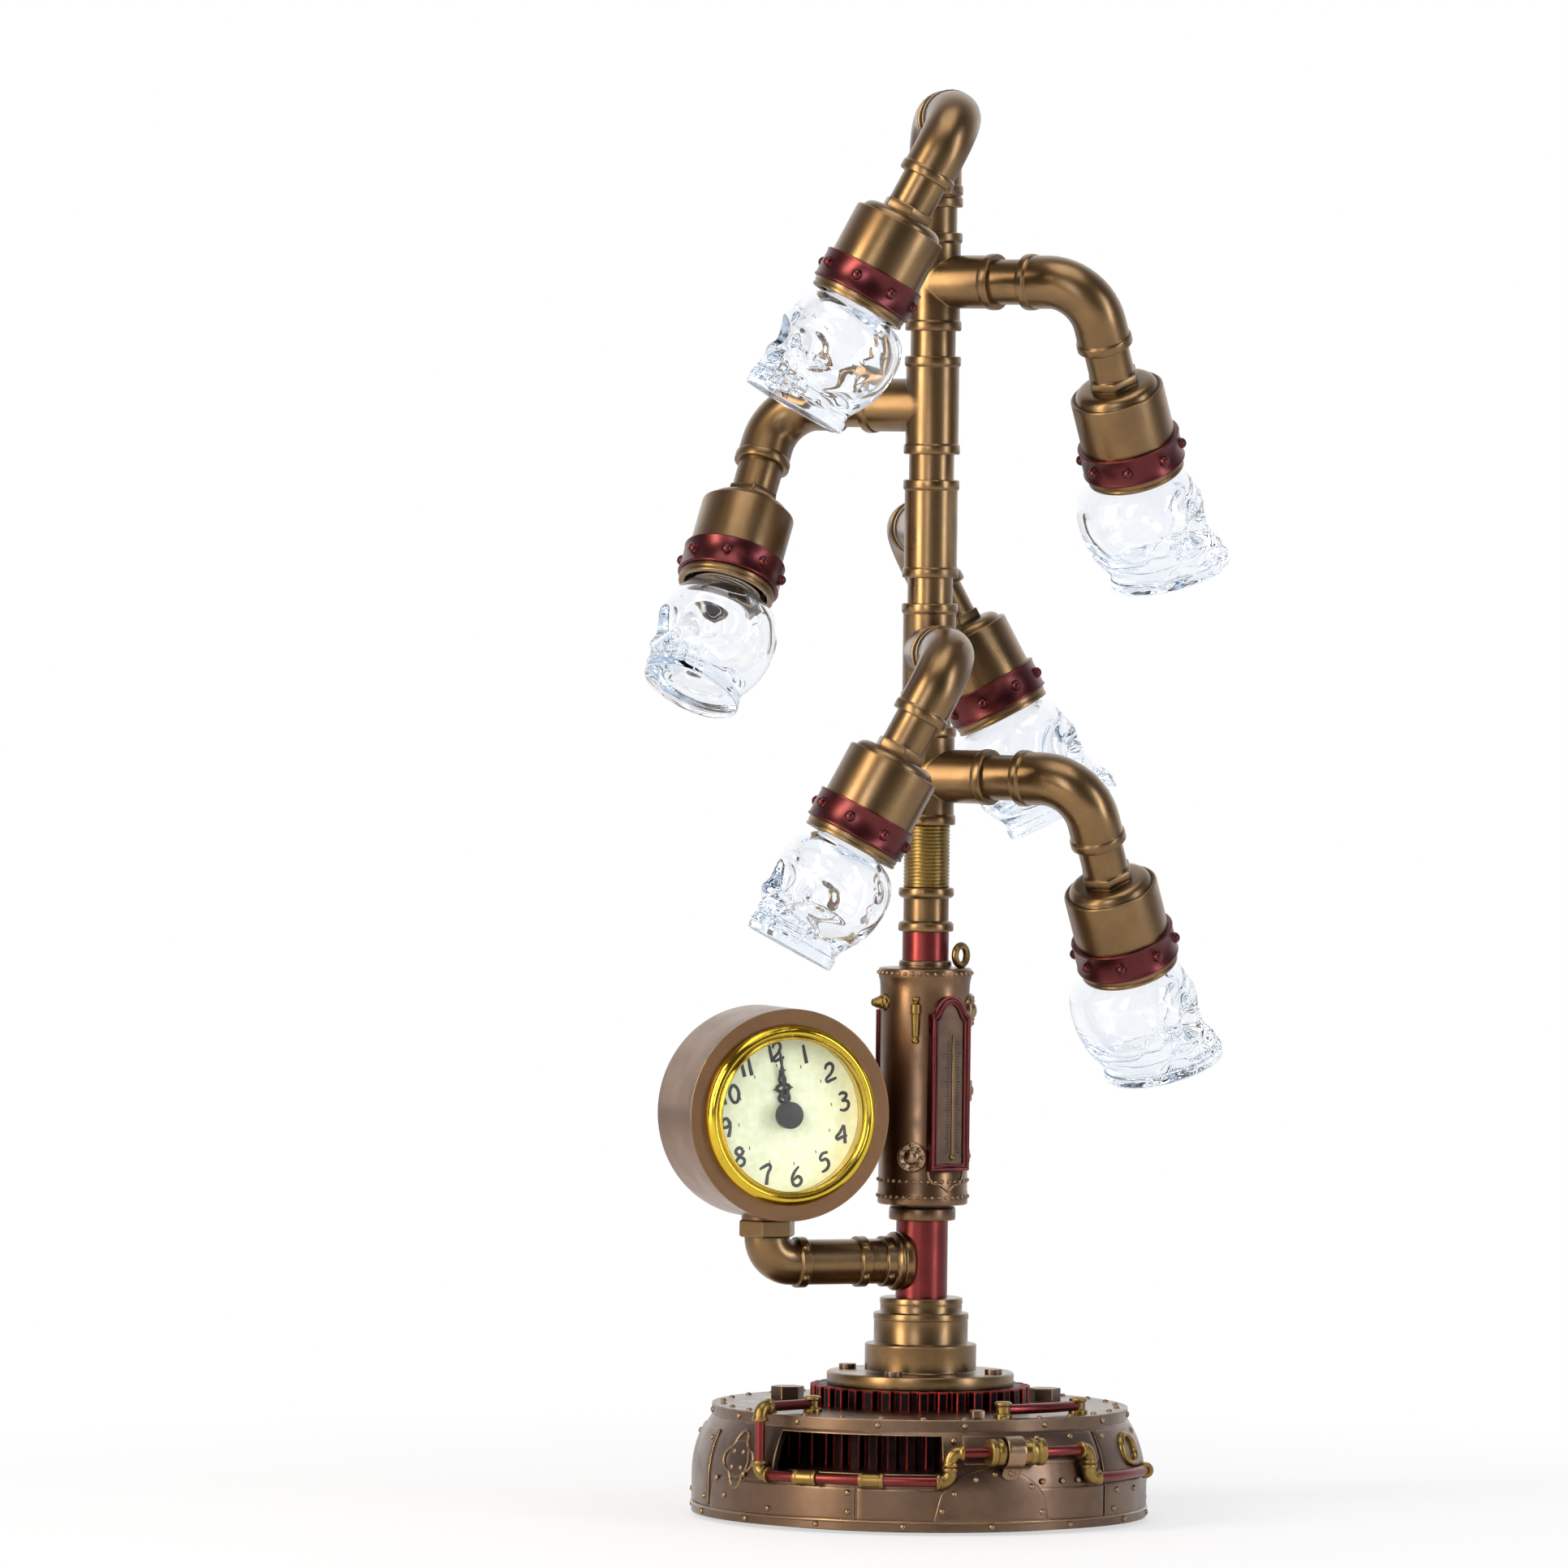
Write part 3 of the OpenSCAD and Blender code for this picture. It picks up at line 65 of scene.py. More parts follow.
lens = bpy.data.cameras.new("photo_camera")
lens.sensor_width = 36
lens.lens = lens.sensor_width * FOCAL_PIXELS / PHOTO_PIXELS
lens.clip_end = 30
camera = bpy.data.objects.new("photo_camera", lens)
camera.location = (
    CAMERA_DISTANCE * math.sin(VIEW_AZIMUTH),
    -CAMERA_DISTANCE * math.cos(VIEW_AZIMUTH),
    CAMERA_HEIGHT,
)
aim = (
    Matrix.Rotation(VIEW_AZIMUTH + YAW_TO_COLUMN, 3, "Z")
    @ Matrix.Rotation(math.radians(90) - TILT_DOWN, 3, "X")
    @ Matrix.Rotation(ROLL, 3, "Z")
)
camera.rotation_euler = aim.to_euler()
scene = bpy.context.scene
scene.collection.objects.link(camera)
scene.camera = camera
print("camera at", [round(v, 3) for v in camera.location], "lens", round(lens.lens, 1))

# %% [markdown]
# ## The room
# The lamp stood on a white sweep in a studio. Camera rays see plain white, so the paper never needs
# extra light. Glossy and transmitted rays see the same white behind the lamp, but a darker room in
# front of it: without something dark to mirror, bronze looks like paint and clear glass vanishes.
# Rays that leave glass are mixed most of the way to white, so that the skulls stay pale.
# The room is a gradient on the direction of the ray, so it stays put when the camera moves.

# %% World
scene.view_settings.view_transform = "Standard"
# Light is followed until it finds its way out of thick glass; cut short, it would leave black specks.
scene.cycles.max_bounces = 32
scene.cycles.glossy_bounces = 16
scene.cycles.transmission_bounces = 32
world = bpy.data.worlds.new("studio")
scene.world = world
world.use_nodes = True
sky = world.node_tree
sky.nodes.clear()
WHITE = (1, 1, 1, 1)
GLASS_TO_WHITE = 0.78
ROOM_SHADES = [
    (0.0, (0.06, 0.058, 0.065, 1)), (0.5, (0.11, 0.108, 0.125, 1)),
    (0.7, (0.40, 0.41, 0.50, 1)), (0.86, WHITE),
]


def new_node(tree, kind, inputs=(), **values):
    """A shader node; each input is joined to a socket or set to a value."""
    node = tree.nodes.new(kind)
    for name, value in values.items():
        setattr(node, name, value)
    for name, value in dict(inputs).items():
        if isinstance(value, bpy.types.NodeSocket):
            tree.links.new(value, node.inputs[name])
        else:
            node.inputs[name].default_value = value
    return node


def set_stops(ramp, stops):
    """Gives a colour ramp its stops, a list of (position, colour)."""
    steps = ramp.color_ramp.elements
    while len(steps) < len(stops):
        steps.new(0.5)
    for step, (position, tone) in zip(steps, stops):
        step.position = position
        step.color = tone


away = (-math.sin(VIEW_AZIMUTH), math.cos(VIEW_AZIMUTH), 0)
ray = new_node(sky, "ShaderNodeTexCoord").outputs["Generated"]
toward_back = new_node(sky, "ShaderNodeVectorMath", {0: ray, 1: away}, operation="DOT_PRODUCT")
spread = new_node(sky, "ShaderNodeMapRange", {
    "Value": toward_back.outputs["Value"], "From Min": -1, "From Max": 1,
})
room = new_node(sky, "ShaderNodeValToRGB", {"Fac": spread.outputs["Result"]})
set_stops(room, ROOM_SHADES)
rays = new_node(sky, "ShaderNodeLightPath").outputs
through = new_node(sky, "ShaderNodeMath", {
    0: rays["Is Transmission Ray"], 1: GLASS_TO_WHITE, 2: rays["Is Camera Ray"],
}, operation="MULTIPLY_ADD")
seen = new_node(sky, "ShaderNodeMix", {
    "Factor": through.outputs["Value"], "A": room.outputs["Color"], "B": WHITE,
}, data_type="RGBA")
background = new_node(sky, "ShaderNodeBackground", {"Color": seen.outputs["Result"]})
new_node(sky, "ShaderNodeOutputWorld", {"Surface": background.outputs["Background"]})
print("world nodes:", len(sky.nodes))

# %% [markdown]
# ## Floor and lamps
# The floor is a wide plane. It is white to the camera and keeps a soft shadow near the lamp: the
# shader mixes an even white with a lit white, and the lit share fades out with distance. Four area
# lamps stand in for the soft boxes: a warm one on the left, a cool one in front, a cool one on the
# right and a wide one overhead.

# %% Floor
FLOOR_SIZE = 14
FLOOR_DROP = 0.0002
SHADOW_NEAR = 0.10
SHADOW_FAR = 0.45
WHITE_SHARE_NEAR = 0.62
AIM_HEIGHT = 0.25
bpy.ops.object.select_all(action="DESELECT")
bpy.ops.mesh.primitive_plane_add(size=FLOOR_SIZE, location=(0, 0, -FLOOR_DROP))
floor = bpy.context.object
floor.name = "floor"
bpy.ops.object.mode_set(mode="EDIT")
bpy.ops.mesh.subdivide(number_cuts=3)
bpy.ops.object.mode_set(mode="OBJECT")
bpy.ops.object.transform_apply(location=True)
paper = bpy.data.materials.new("white_paper")
paper.use_nodes = True
tree = paper.node_tree
lit = tree.nodes["Principled BSDF"]
lit.inputs["Base Color"].default_value = (0.93, 0.93, 0.93, 1)
lit.inputs["Roughness"].default_value = 0.9
glow = new_node(tree, "ShaderNodeEmission", {"Strength": 1.0})
rays = new_node(tree, "ShaderNodeLightPath").outputs
spot = new_node(tree, "ShaderNodeTexCoord").outputs["Object"]
far = new_node(tree, "ShaderNodeVectorMath", {0: spot}, operation="LENGTH")
even = new_node(tree, "ShaderNodeMapRange", {
    "Value": far.outputs["Value"], "From Min": SHADOW_NEAR, "From Max": SHADOW_FAR,
    "To Min": WHITE_SHARE_NEAR, "To Max": 1.0,
})
share = new_node(tree, "ShaderNodeMath", {
    0: rays["Is Camera Ray"], 1: even.outputs["Result"], 2: rays["Is Transmission Ray"],
}, operation="MULTIPLY_ADD")
both = new_node(tree, "ShaderNodeMixShader", {
    "Fac": share.outputs["Value"], 1: lit.outputs["BSDF"], 2: glow.outputs["Emission"],
})
tree.links.new(both.outputs["Shader"], tree.nodes["Material Output"].inputs["Surface"])
floor.data.materials.append(paper)


def soft_box(name, azimuth, distance, height, size, power, colour):
    """A rectangular lamp at an azimuth from the camera's side, turned towards the middle of the lamp."""
    turn = VIEW_AZIMUTH + math.radians(azimuth)
    data = bpy.data.lights.new(name, "AREA")
    data.shape = "RECTANGLE"
    data.size, data.size_y = size
    data.energy = power
    data.color = colour
    lamp = bpy.data.objects.new(name, data)
    lamp.location = (distance * math.sin(turn), -distance * math.cos(turn), height)
    line = Vector((0, 0, AIM_HEIGHT)) - lamp.location
    lamp.rotation_euler = line.to_track_quat("-Z", "Y").to_euler()
    scene.collection.objects.link(lamp)


soft_box("key_left", -52, 1.7, 0.75, (0.40, 1.5), 27, (1.0, 0.89, 0.73))
soft_box("front", -16, 2.6, 0.9, (0.5, 1.2), 15, (0.88, 0.91, 1.0))
soft_box("fill_right", 62, 1.9, 0.6, (0.35, 1.4), 14, (0.84, 0.89, 1.0))
soft_box("top", 0, 0.5, 1.9, (1.2, 1.2), 13, (1.0, 0.98, 0.95))

# %% [markdown]
# ## Bronze, brass and red metal
# The real pipes are cast, sprayed bronze and rubbed back: brown in the hollows, lighter on the edges
# and slightly cloudy all over. One builder makes every metal of the lamp from three tones. Cloudy
# noise in object space picks the tone, ambient occlusion inside the piece brings the dark into the
# corners, and the Bevel node finds the edges, which are rubbed bright and also rounded for the light.

# %% Metal builder
EDGE_RADIUS = 0.0006
HOLLOW_REACH = 0.004
FINE_GRAIN = 2600
NOISE_ROUGHNESS = 0.55


def colour(hex_text):
    """Linear colour of a hexadecimal screen colour."""
    parts = [int(hex_text[k:k + 2], 16) / 255 for k in (0, 2, 4)]
    return (*[c / 12.92 if c < 0.04045 else ((c + 0.055) / 1.055) ** 2.4 for c in parts], 1)


class Finish:
    """A material with short ways to add and join its nodes."""

    def __init__(self, name):
        self.material = bpy.data.materials.new(name)
        self.material.use_nodes = True
        self.tree = self.material.node_tree
        self.shader = self.tree.nodes["Principled BSDF"]
        self.coord = self.add("ShaderNodeTexCoord").outputs["Object"]

    def add(self, kind, inputs=(), **values):
        return new_node(self.tree, kind, inputs, **values)

    def feed(self, socket, value):
        if isinstance(value, bpy.types.NodeSocket):
            self.tree.links.new(value, socket)
        else:
            socket.default_value = value

    def surface(self, values):
        """Sets or joins inputs of the main shader."""
        for name, value in values.items():
            self.feed(self.shader.inputs[name], value)

    def noise(self, scale, detail):
        inputs = {"Vector": self.coord, "Scale": scale, "Detail": detail, "Roughness": NOISE_ROUGHNESS}
        return self.add("ShaderNodeTexNoise", inputs).outputs["Fac"]

    def ramp(self, value, *stops):
        node = self.add("ShaderNodeValToRGB", {"Fac": value})
        set_stops(node, stops)
        return node.outputs["Color"]

    def span(self, value, low, high, to_low, to_high):
        node = self.add("ShaderNodeMapRange", {
            "Value": value, "From Min": low, "From Max": high, "To Min": to_low, "To Max": to_high,
        })
        return node.outputs["Result"]

    def mix(self, share, first, second):
        node = self.add("ShaderNodeMix", data_type="RGBA")
        for name, value in (("Factor", share), ("A", first), ("B", second)):
            self.feed([s for s in node.inputs if s.name == name and s.enabled][0], value)
        return [s for s in node.outputs if s.enabled][0]

    def times(self, first, second):
        return self.add("ShaderNodeMath", {0: first, 1: second}, operation="MULTIPLY").outputs["Value"]

    def edges(self, radius):
        """1 on edges that are sharper than the radius, 0 on even faces, and the rounded normal."""
        bevel = self.add("ShaderNodeBevel", {"Radius": radius}, samples=4)
        face = self.add("ShaderNodeNewGeometry").outputs["Normal"]
        dot = self.add("ShaderNodeVectorMath", {0: bevel.outputs["Normal"], 1: face}, operation="DOT_PRODUCT")
        return self.span(dot.outputs["Value"], 0.995, 0.86, 0.0, 1.0), bevel.outputs["Normal"]

    def hollows(self, distance):
        """1 in corners and under ledges, 0 in the open."""
        open_sky = self.add("ShaderNodeAmbientOcclusion", {"Distance": distance}, samples=4, only_local=True)
        return self.span(open_sky.outputs["AO"], 0.45, 0.92, 1.0, 0.0)

    def bump(self, height, strength, distance, normal=None):
        node = self.add("ShaderNodeBump", {"Height": height, "Strength": strength, "Distance": distance})
        if normal is not None:
            self.tree.links.new(normal, node.inputs["Normal"])
        return node.outputs["Normal"]


def rubbed_metal(name, dark, mid, bright, rough, edge=0.5, cloud=70, grime=0.85, coat=0.4):
    """Patinated metal from three tones: dark hollows, a cloudy middle and rubbed edges."""
    finish = Finish(name)
    cloudy = finish.noise(cloud, 5)
    tone = finish.ramp(cloudy, (0.30, tuple(0.72 * c for c in mid[:3]) + (1,)), (0.62, mid))
    rub, rounded = finish.edges(EDGE_RADIUS)
    patchy = finish.span(finish.noise(240, 3), 0.35, 0.65, 0.4, 1.0)
    tone = finish.mix(finish.times(finish.times(rub, patchy), edge), tone, bright)
    finish.surface({
        "Base Color": finish.mix(finish.times(finish.hollows(HOLLOW_REACH), grime), tone, dark),
        "Metallic": 1.0, "Coat Weight": coat, "Coat Roughness": 0.3,
        "Roughness": finish.span(cloudy, 0.3, 0.7, rough + 0.09, rough - 0.06),
        "Normal": finish.bump(finish.noise(FINE_GRAIN, 2), 0.05, 0.0001, rounded),
    })
    return finish.material


# Tones of the hollows, the middle and the edges, roughness, and what else differs from the usual
METALS = {
    "bronze": ("20160A", "84653C", "DCB678", 0.30, {"coat": 0.6}),
    "dark_bronze": ("1C130E", "725843", "E0C294", 0.32, {"edge": 0.9, "cloud": 110, "coat": 0.5}),
    "boiler_bronze": ("1A110A", "7A5A3C", "DCBA88", 0.32, {"edge": 0.7, "cloud": 110, "coat": 0.5}),
    # The rivet tone is a lighter copy of the dark bronze: a painted highlight for the light that rivets,
    # beads, trim and caps catch
    "rivet_bronze_lit": ("1C130E", "A08262", "D0B090", 0.26, {"edge": 0.15, "grime": 0.6}),
    "case_bronze": ("2A1C14", "8C6642", "D8B890", 0.35, {"coat": 0.6}),
    "scale_bronze": ("180F0A", "503A26", "A08468", 0.40, {"cloud": 150}),
    "red_metal": ("22060A", "7E2A27", "C8704E", 0.30, {"edge": 0.6, "cloud": 120}),
    "crimson": ("1A0508", "622022", "B45648", 0.31, {"edge": 0.5, "cloud": 140}),
    "gold": ("33240A", "94763A", "EACB74", 0.32, {"cloud": 160}),
    "bezel_gold": ("5A4208", "E8C440", "FFF0A0", 0.10, {"grime": 0.3, "coat": 0.0}),
}
FINISH = {}
for name, (dark, mid, bright, rough, more) in METALS.items():
    FINISH[name] = rubbed_metal(name, colour(dark), colour(mid), colour(bright), rough, **more)
print("metals:", list(FINISH))

# %% [markdown]
# ## Glass, plastic, dial and felt
# Clear glass is a transmitting shader with a faint blue tint; a little absorption inside the solid
# makes thick places darker than thin ones, as in pressed glass. The small plain finishes (plastic,
# felt, board and dial card) get their life from fine noise in colour, roughness and bump.

# %% Other finishes


def clear_glass(name, tint, density, ripple):
    """Pressed glass: nearly clear, with slow ripples in its skin and a tint that grows with depth."""
    finish = Finish(name)
    waves = finish.noise(90, 2)
    finish.surface({
        "Base Color": finish.ramp(waves, (0.3, (0.95, 0.97, 1, 1)), (0.7, WHITE)),
        "Roughness": finish.span(finish.noise(300, 2), 0.3, 0.7, 0.0, 0.03),
        "IOR": 1.46, "Transmission Weight": 1.0,
        "Normal": finish.bump(waves, ripple, 0.0006),
    })
    if density:
        depth = finish.add("ShaderNodeVolumeAbsorption", {"Color": tint, "Density": density})
        finish.tree.links.new(depth.outputs["Volume"], finish.tree.nodes["Material Output"].inputs["Volume"])
    return finish.material


def grained(name, low, high, rough, grain, bump, sheen=0.0, coat=0.0):
    """A plain material whose colour, roughness and height all follow one grain."""
    finish = Finish(name)
    value = finish.noise(grain, 4)
    finish.surface({
        "Base Color": finish.ramp(value, (0.35, colour(low)), (0.65, colour(high))),
        "Roughness": finish.span(value, 0.3, 0.7, rough + 0.08, rough - 0.05),
        "Normal": finish.bump(value, bump, 0.0003),
        "Sheen Weight": sheen, "Coat Weight": coat,
    })
    return finish.material


def gear_metal(name):
    """Black cast gear whose edges are brushed with red."""
    finish = Finish(name)
    rub, rounded = finish.edges(0.0010)
    patchy = finish.span(finish.noise(500, 3), 0.3, 0.6, 0.5, 1.0)
    body = finish.ramp(finish.noise(300, 4), (0.35, colour("080506")), (0.7, colour("1A0E12")))
    finish.surface({
        "Base Color": finish.mix(finish.times(rub, patchy), body, colour("D0443A")),
        "Metallic": 0.9,
        "Roughness": finish.span(finish.noise(900, 2), 0.3, 0.7, 0.5, 0.36),
        "Normal": finish.bump(finish.noise(1800, 2), 0.2, 0.0002, rounded),
    })
    return finish.material


# Tones of the grain, roughness, scale of the grain, strength of its bump, and what else differs
GRAINED = {
    "black_plastic": ("101012", "1E1E21", 0.42, 1400, 0.15, {}),
    "red_plastic": ("8E130E", "B01C14", 0.35, 1200, 0.1, {"coat": 0.2}),
    "board": ("14391F", "1D5A30", 0.5, 700, 0.1, {}),
    "felt": ("0E0E10", "26262A", 0.95, 3200, 0.6, {"sheen": 0.4}),
    "dial": ("DDE2B6", "E8ECC8", 0.6, 500, 0.04, {}),
    "ink": ("0D0C0C", "1C1A19", 0.5, 1500, 0.05, {}),
    "cell": ("8A8C8E", "B4B6B8", 0.3, 900, 0.05, {}),
    "led": ("E8E2C0", "F4EFD8", 0.4, 600, 0.05, {}),
}
FINISH["glass"] = clear_glass("glass", (0.72, 0.83, 0.95, 1), 14.0, 0.10)
FINISH["lens_glass"] = clear_glass("lens_glass", WHITE, 0.0, 0.0)
FINISH["black_metal"] = gear_metal("black_metal")
for name, (*values, more) in GRAINED.items():
    FINISH[name] = grained(name, *values, **more)
# CAD nodes of each finish, without the numbers of the heads
NODE_KINDS = {
    "bronze": "elbow cup column_tees column_nipples pedestal clock_arm",
    "dark_bronze": "gear_shelf base_shell base_deck bolts_and_screws",
    "boiler_bronze": "boiler",
    "case_bronze": "clock_case",
    "scale_bronze": "thermometer_scale",
    "red_metal": "band copper_stem feed_pipes",
    "crimson": "thermometer_frame",
    "gold": "brass_fittings",
    "bezel_gold": "clock_bezel",
    "black_metal": "deck_gear window_gear",
    "glass": "skull",
    "lens_glass": "clock_lens",
    "black_plastic": "bottom_cover switch_body clock_movement set_knob",
    "red_plastic": "rocker",
    "board": "driver_board",
    "felt": "foot_pad",
    "dial": "clock_dial",
    "ink": "hour_hand minute_hand",
    "cell": "clock_battery",
    "led": "led",
}
FINISH_OF = {kind: finish for finish, kinds in NODE_KINDS.items() for kind in kinds.split()}
for name, node in NODES.items():
    kind = name.rstrip("0123456789").rstrip("_")
    node.data.materials.clear()
    node.data.materials.append(FINISH[FINISH_OF[kind]])
print("finishes:", len(FINISH))

# %% [markdown]
# ## Working by operators
# Most parts of the lamp are turned: cups, beads, rivets, the boiler can. In Blender a turned part can
# be a Screw modifier on a profile, or the Spin tool. Spin is used here, because its result is plain
# mesh at once. A profile is one vertex that is extruded from point to point. A finished piece is then
# moved to its place, and the move is applied, so that its object stays at the origin.

# %% Modelling helpers


def start_fresh():
    """Leaves edit mode and selects nothing, so that the next operator acts on one piece only."""
    if bpy.context.object and bpy.context.object.mode != "OBJECT":
        bpy.ops.object.mode_set(mode="OBJECT")
    bpy.ops.object.select_all(action="DESELECT")


def pick(*pieces):
    start_fresh()
    for piece in pieces:
        piece.select_set(True)
    bpy.context.view_layer.objects.active = pieces[0]
    return pieces[0]


def place(piece, matrix):
    """Moves a piece and writes the move into its mesh."""
    pick(piece)
    piece.matrix_world = matrix
    bpy.ops.object.transform_apply(location=True, rotation=True, scale=True)
    return piece


def copy_of(piece, name):
    pick(piece)
    bpy.ops.object.duplicate(linked=False)
    twin = bpy.context.object
    twin.name = name
    return twin


def joined(name, pieces):
    first = pick(*pieces)
    if len(pieces) > 1:
        bpy.ops.object.join()
    first.name = name
    return first


def edit_all():
    """Puts the active piece in edit mode with everything selected."""
    bpy.ops.object.mode_set(mode="EDIT")
    bpy.ops.mesh.select_all(action="SELECT")


def weld(threshold=1e-6):
    """Merges doubles of the piece in edit mode, turns its faces outwards and leaves edit mode."""
    bpy.ops.mesh.select_all(action="SELECT")
    bpy.ops.mesh.remove_doubles(threshold=threshold)
    bpy.ops.mesh.normals_make_consistent(inside=False)
    bpy.ops.object.mode_set(mode="OBJECT")


def break_edges(offset):
    """Bevels all edges of the active piece; the offset is in millimetres."""
    edit_all()
    bpy.ops.mesh.bevel(offset=offset * MM, segments=2, affect="EDGES")
    bpy.ops.object.mode_set(mode="OBJECT")


def smooth(piece, angle):
    pick(piece)
    bpy.ops.object.shade_smooth_by_angle(angle=math.radians(angle))
    return piece


def dress(piece, body, slot, finish, *nodes):
    """Gives a finished piece its material and its body, and hides the CAD nodes it stands for. The slot is
    not used.
    """
    piece.data.materials.clear()
    piece.data.materials.append(FINISH[finish])
    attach(piece, body)
    if nodes:
        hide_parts(*nodes)
    return piece


def lone_vertex(name, spot):
    """A new piece that is one selected vertex in edit mode."""
    start_fresh()
    bpy.ops.mesh.primitive_plane_add(size=MM)
    piece = bpy.context.object
    piece.name = name
    edit_all()
    bpy.ops.mesh.merge(type="CENTER")
    bpy.ops.transform.translate(value=Vector(spot) * MM)
    return piece


def lathe(name, profile, steps, closed=True):
    """Spins a half section, a list of (radius, height) in millimetres, about the Z axis."""
    path = list(profile) + ([profile[0]] if closed else [])
    piece = lone_vertex(name, (path[0][0], 0, path[0][1]))
    for (r0, z0), (r1, z1) in zip(path, path[1:]):
        step = Vector((r1 - r0, 0, z1 - z0)) * MM
        bpy.ops.mesh.extrude_region_move(TRANSFORM_OT_translate={"value": step})
    bpy.ops.mesh.select_all(action="SELECT")
    bpy.ops.mesh.remove_doubles(threshold=1e-6)
    bpy.ops.mesh.spin(steps=steps, angle=math.radians(360), center=(0, 0, 0), axis=(0, 0, 1))
    weld()
    return piece


def azimuth_frame(az, ring_r=0.0, z=0.0):
    """Frame on the lamp's axis: local -Y looks along the azimuth; distance and height in millimetres."""
    return Matrix.Rotation(math.radians(az), 4, "Z") @ Matrix.Translation(Vector((0, -ring_r, z)) * MM)


# %% [markdown]
# ## The heads
# Each head hangs from an elbow that turns on its arm. All six are alike, so each piece is modelled
# once about its own axis and copied to six frames. The frames repeat the CAD's numbers: height of the
# arm, its azimuth, the side that the head is swung to and the turn of the skull about its neck.

# %% Head frames
HEADS = {
    1: (469.3, -14.5, -1, -55), 2: (415.3, 38.0, 1, 32), 3: (373.8, 218.0, 1, 85),
    4: (332.3, 165.5, -1, -95), 5: (290.8, -14.5, -1, -35), 6: (249.3, 38.0, 1, 32),
}
ARM_REACH = 60.0
HEAD_SWING = 28.0
LIP_Z = 71.9


def head_frame(i):
    z, az, side, _ = HEADS[i]
    return (
        Matrix.Translation((0, 0, z * MM))
        @ Matrix.Rotation(math.radians(az), 4, "Z")
        @ Matrix.Translation((0, -ARM_REACH * MM, 0))
        @ Matrix.Rotation(math.radians(-side * HEAD_SWING), 4, "Y")
    )


def on_heads(model, name, slot, finish, node, seat=None):
    """Copies a model to the six heads; the model itself becomes the last one. A seat turns each copy."""
    for i in HEADS:
        piece = model if i == 6 else copy_of(model, f"{name}_{i}")
        piece.name = f"{name}_{i}"
        where = head_frame(i) @ seat(i) if seat else head_frame(i)
        dress(place(piece, where), f"head_{i}", slot, finish, f"{node}_{i}")


for i in HEADS:
    print("head", i, "mouth at", [round(v * 1000) for v in head_frame(i) @ Vector((0, 0, -LIP_Z * MM))])

# %% [markdown]
# ## Cups
# A cup is a pipe neck with a hexagon nut, a rolled shoulder with a groove round its foot, a plain
# barrel and a double lip below the studded band. The barrel is one closed lathe. The nut starts as a
# six-sided cylinder whose corners are bevelled away top and bottom, as on a real nut.

# %% Cups
CUP_SECTION = [
    (7.6, -18.0), (7.6, -37.8), (10.4, -38.0), (11.6, -38.2), (12.7, -38.7), (13.55, -39.5),
    (14.05, -40.5), (14.25, -41.3), (14.5, -41.55), (14.8, -41.3), (15.1, -41.02), (15.5, -41.02),
    (15.8, -41.3), (15.9, -41.8), (15.9, -68.6), (16.25, -68.7), (16.42, -68.95), (16.42, -70.1),
    (16.15, -70.35), (16.15, -70.6), (16.4, -70.85), (16.4, -71.6), (16.1, -71.9), (14.8, -71.9),
    (14.4, -71.5), (14.4, -66.9), (11.9, -66.9), (11.9, -71.2), (10.5, -71.2), (10.5, -66.9),
    (8.3, -66.9), (8.3, -65.3), (14.4, -65.3), (14.4, -43.2), (4.5, -43.2), (4.5, -18.0),
]
NUT_R = 9.2
NUT_H = 3.5
NUT_Z = -36.25
cup = lathe("cup_barrel", CUP_SECTION, steps=72)
start_fresh()
bpy.ops.mesh.primitive_cylinder_add(vertices=6, radius=NUT_R * MM, depth=NUT_H * MM,
                                    location=(0, 0, NUT_Z * MM))
nut = bpy.context.object
bpy.ops.object.transform_apply(location=True)
break_edges(0.35)
cup = smooth(joined("cup_barrel", [cup, nut]), 32)
on_heads(cup, "turned_cup", "bronze", "bronze", "cup")
print("cup faces:", len(cup.data.polygons))

# %% [markdown]
# ## Glass skulls
# A pressed glass skull with a hollow cranium, teeth at its front and a flat foot under its jaw. It
# could be sculpted or built from curves; here it is lofted, as a glass worker would draw it: a ring is
# extruded from height to height and resized each time, first up the inside of the hollow, over the
# rim of the mouth and then down the outside. A subdivision surface rounds it. The face needs finer
# strokes than a loft has, so the outer skin is then pressed in and out by soft dents of given width,
# the way a sculpting brush would.

# %% Skull loft
# Each ring: height below the cup's lip, half width, reach to the front, reach to the back
HOLLOW_RINGS = [
    (-31.9, 0.5, 0.5, 0.5), (-31.6, 4.8, 5, 6), (-30.6, 8.5, 8.4, 10), (-28, 12, 10.6, 14.5),
    (-25, 14.3, 11.6, 17.3), (-22, 15.8, 12, 19), (-18, 16.8, 12.8, 20.2), (-14, 17, 14.4, 20.6),
    (-10, 16.6, 15.4, 20.4), (-7, 15.4, 15, 19.6), (-4.5, 13.6, 13.5, 17.6), (-2.5, 11.2, 11.6, 14),
    (-1, 9.2, 9.4, 10.2), (0.3, 8.5, 8.5, 8.6), (2.5, 8.3, 8.3, 8.3), (4.7, 8.3, 8.3, 8.3),
    (5, 8.5, 8.5, 8.5),
]
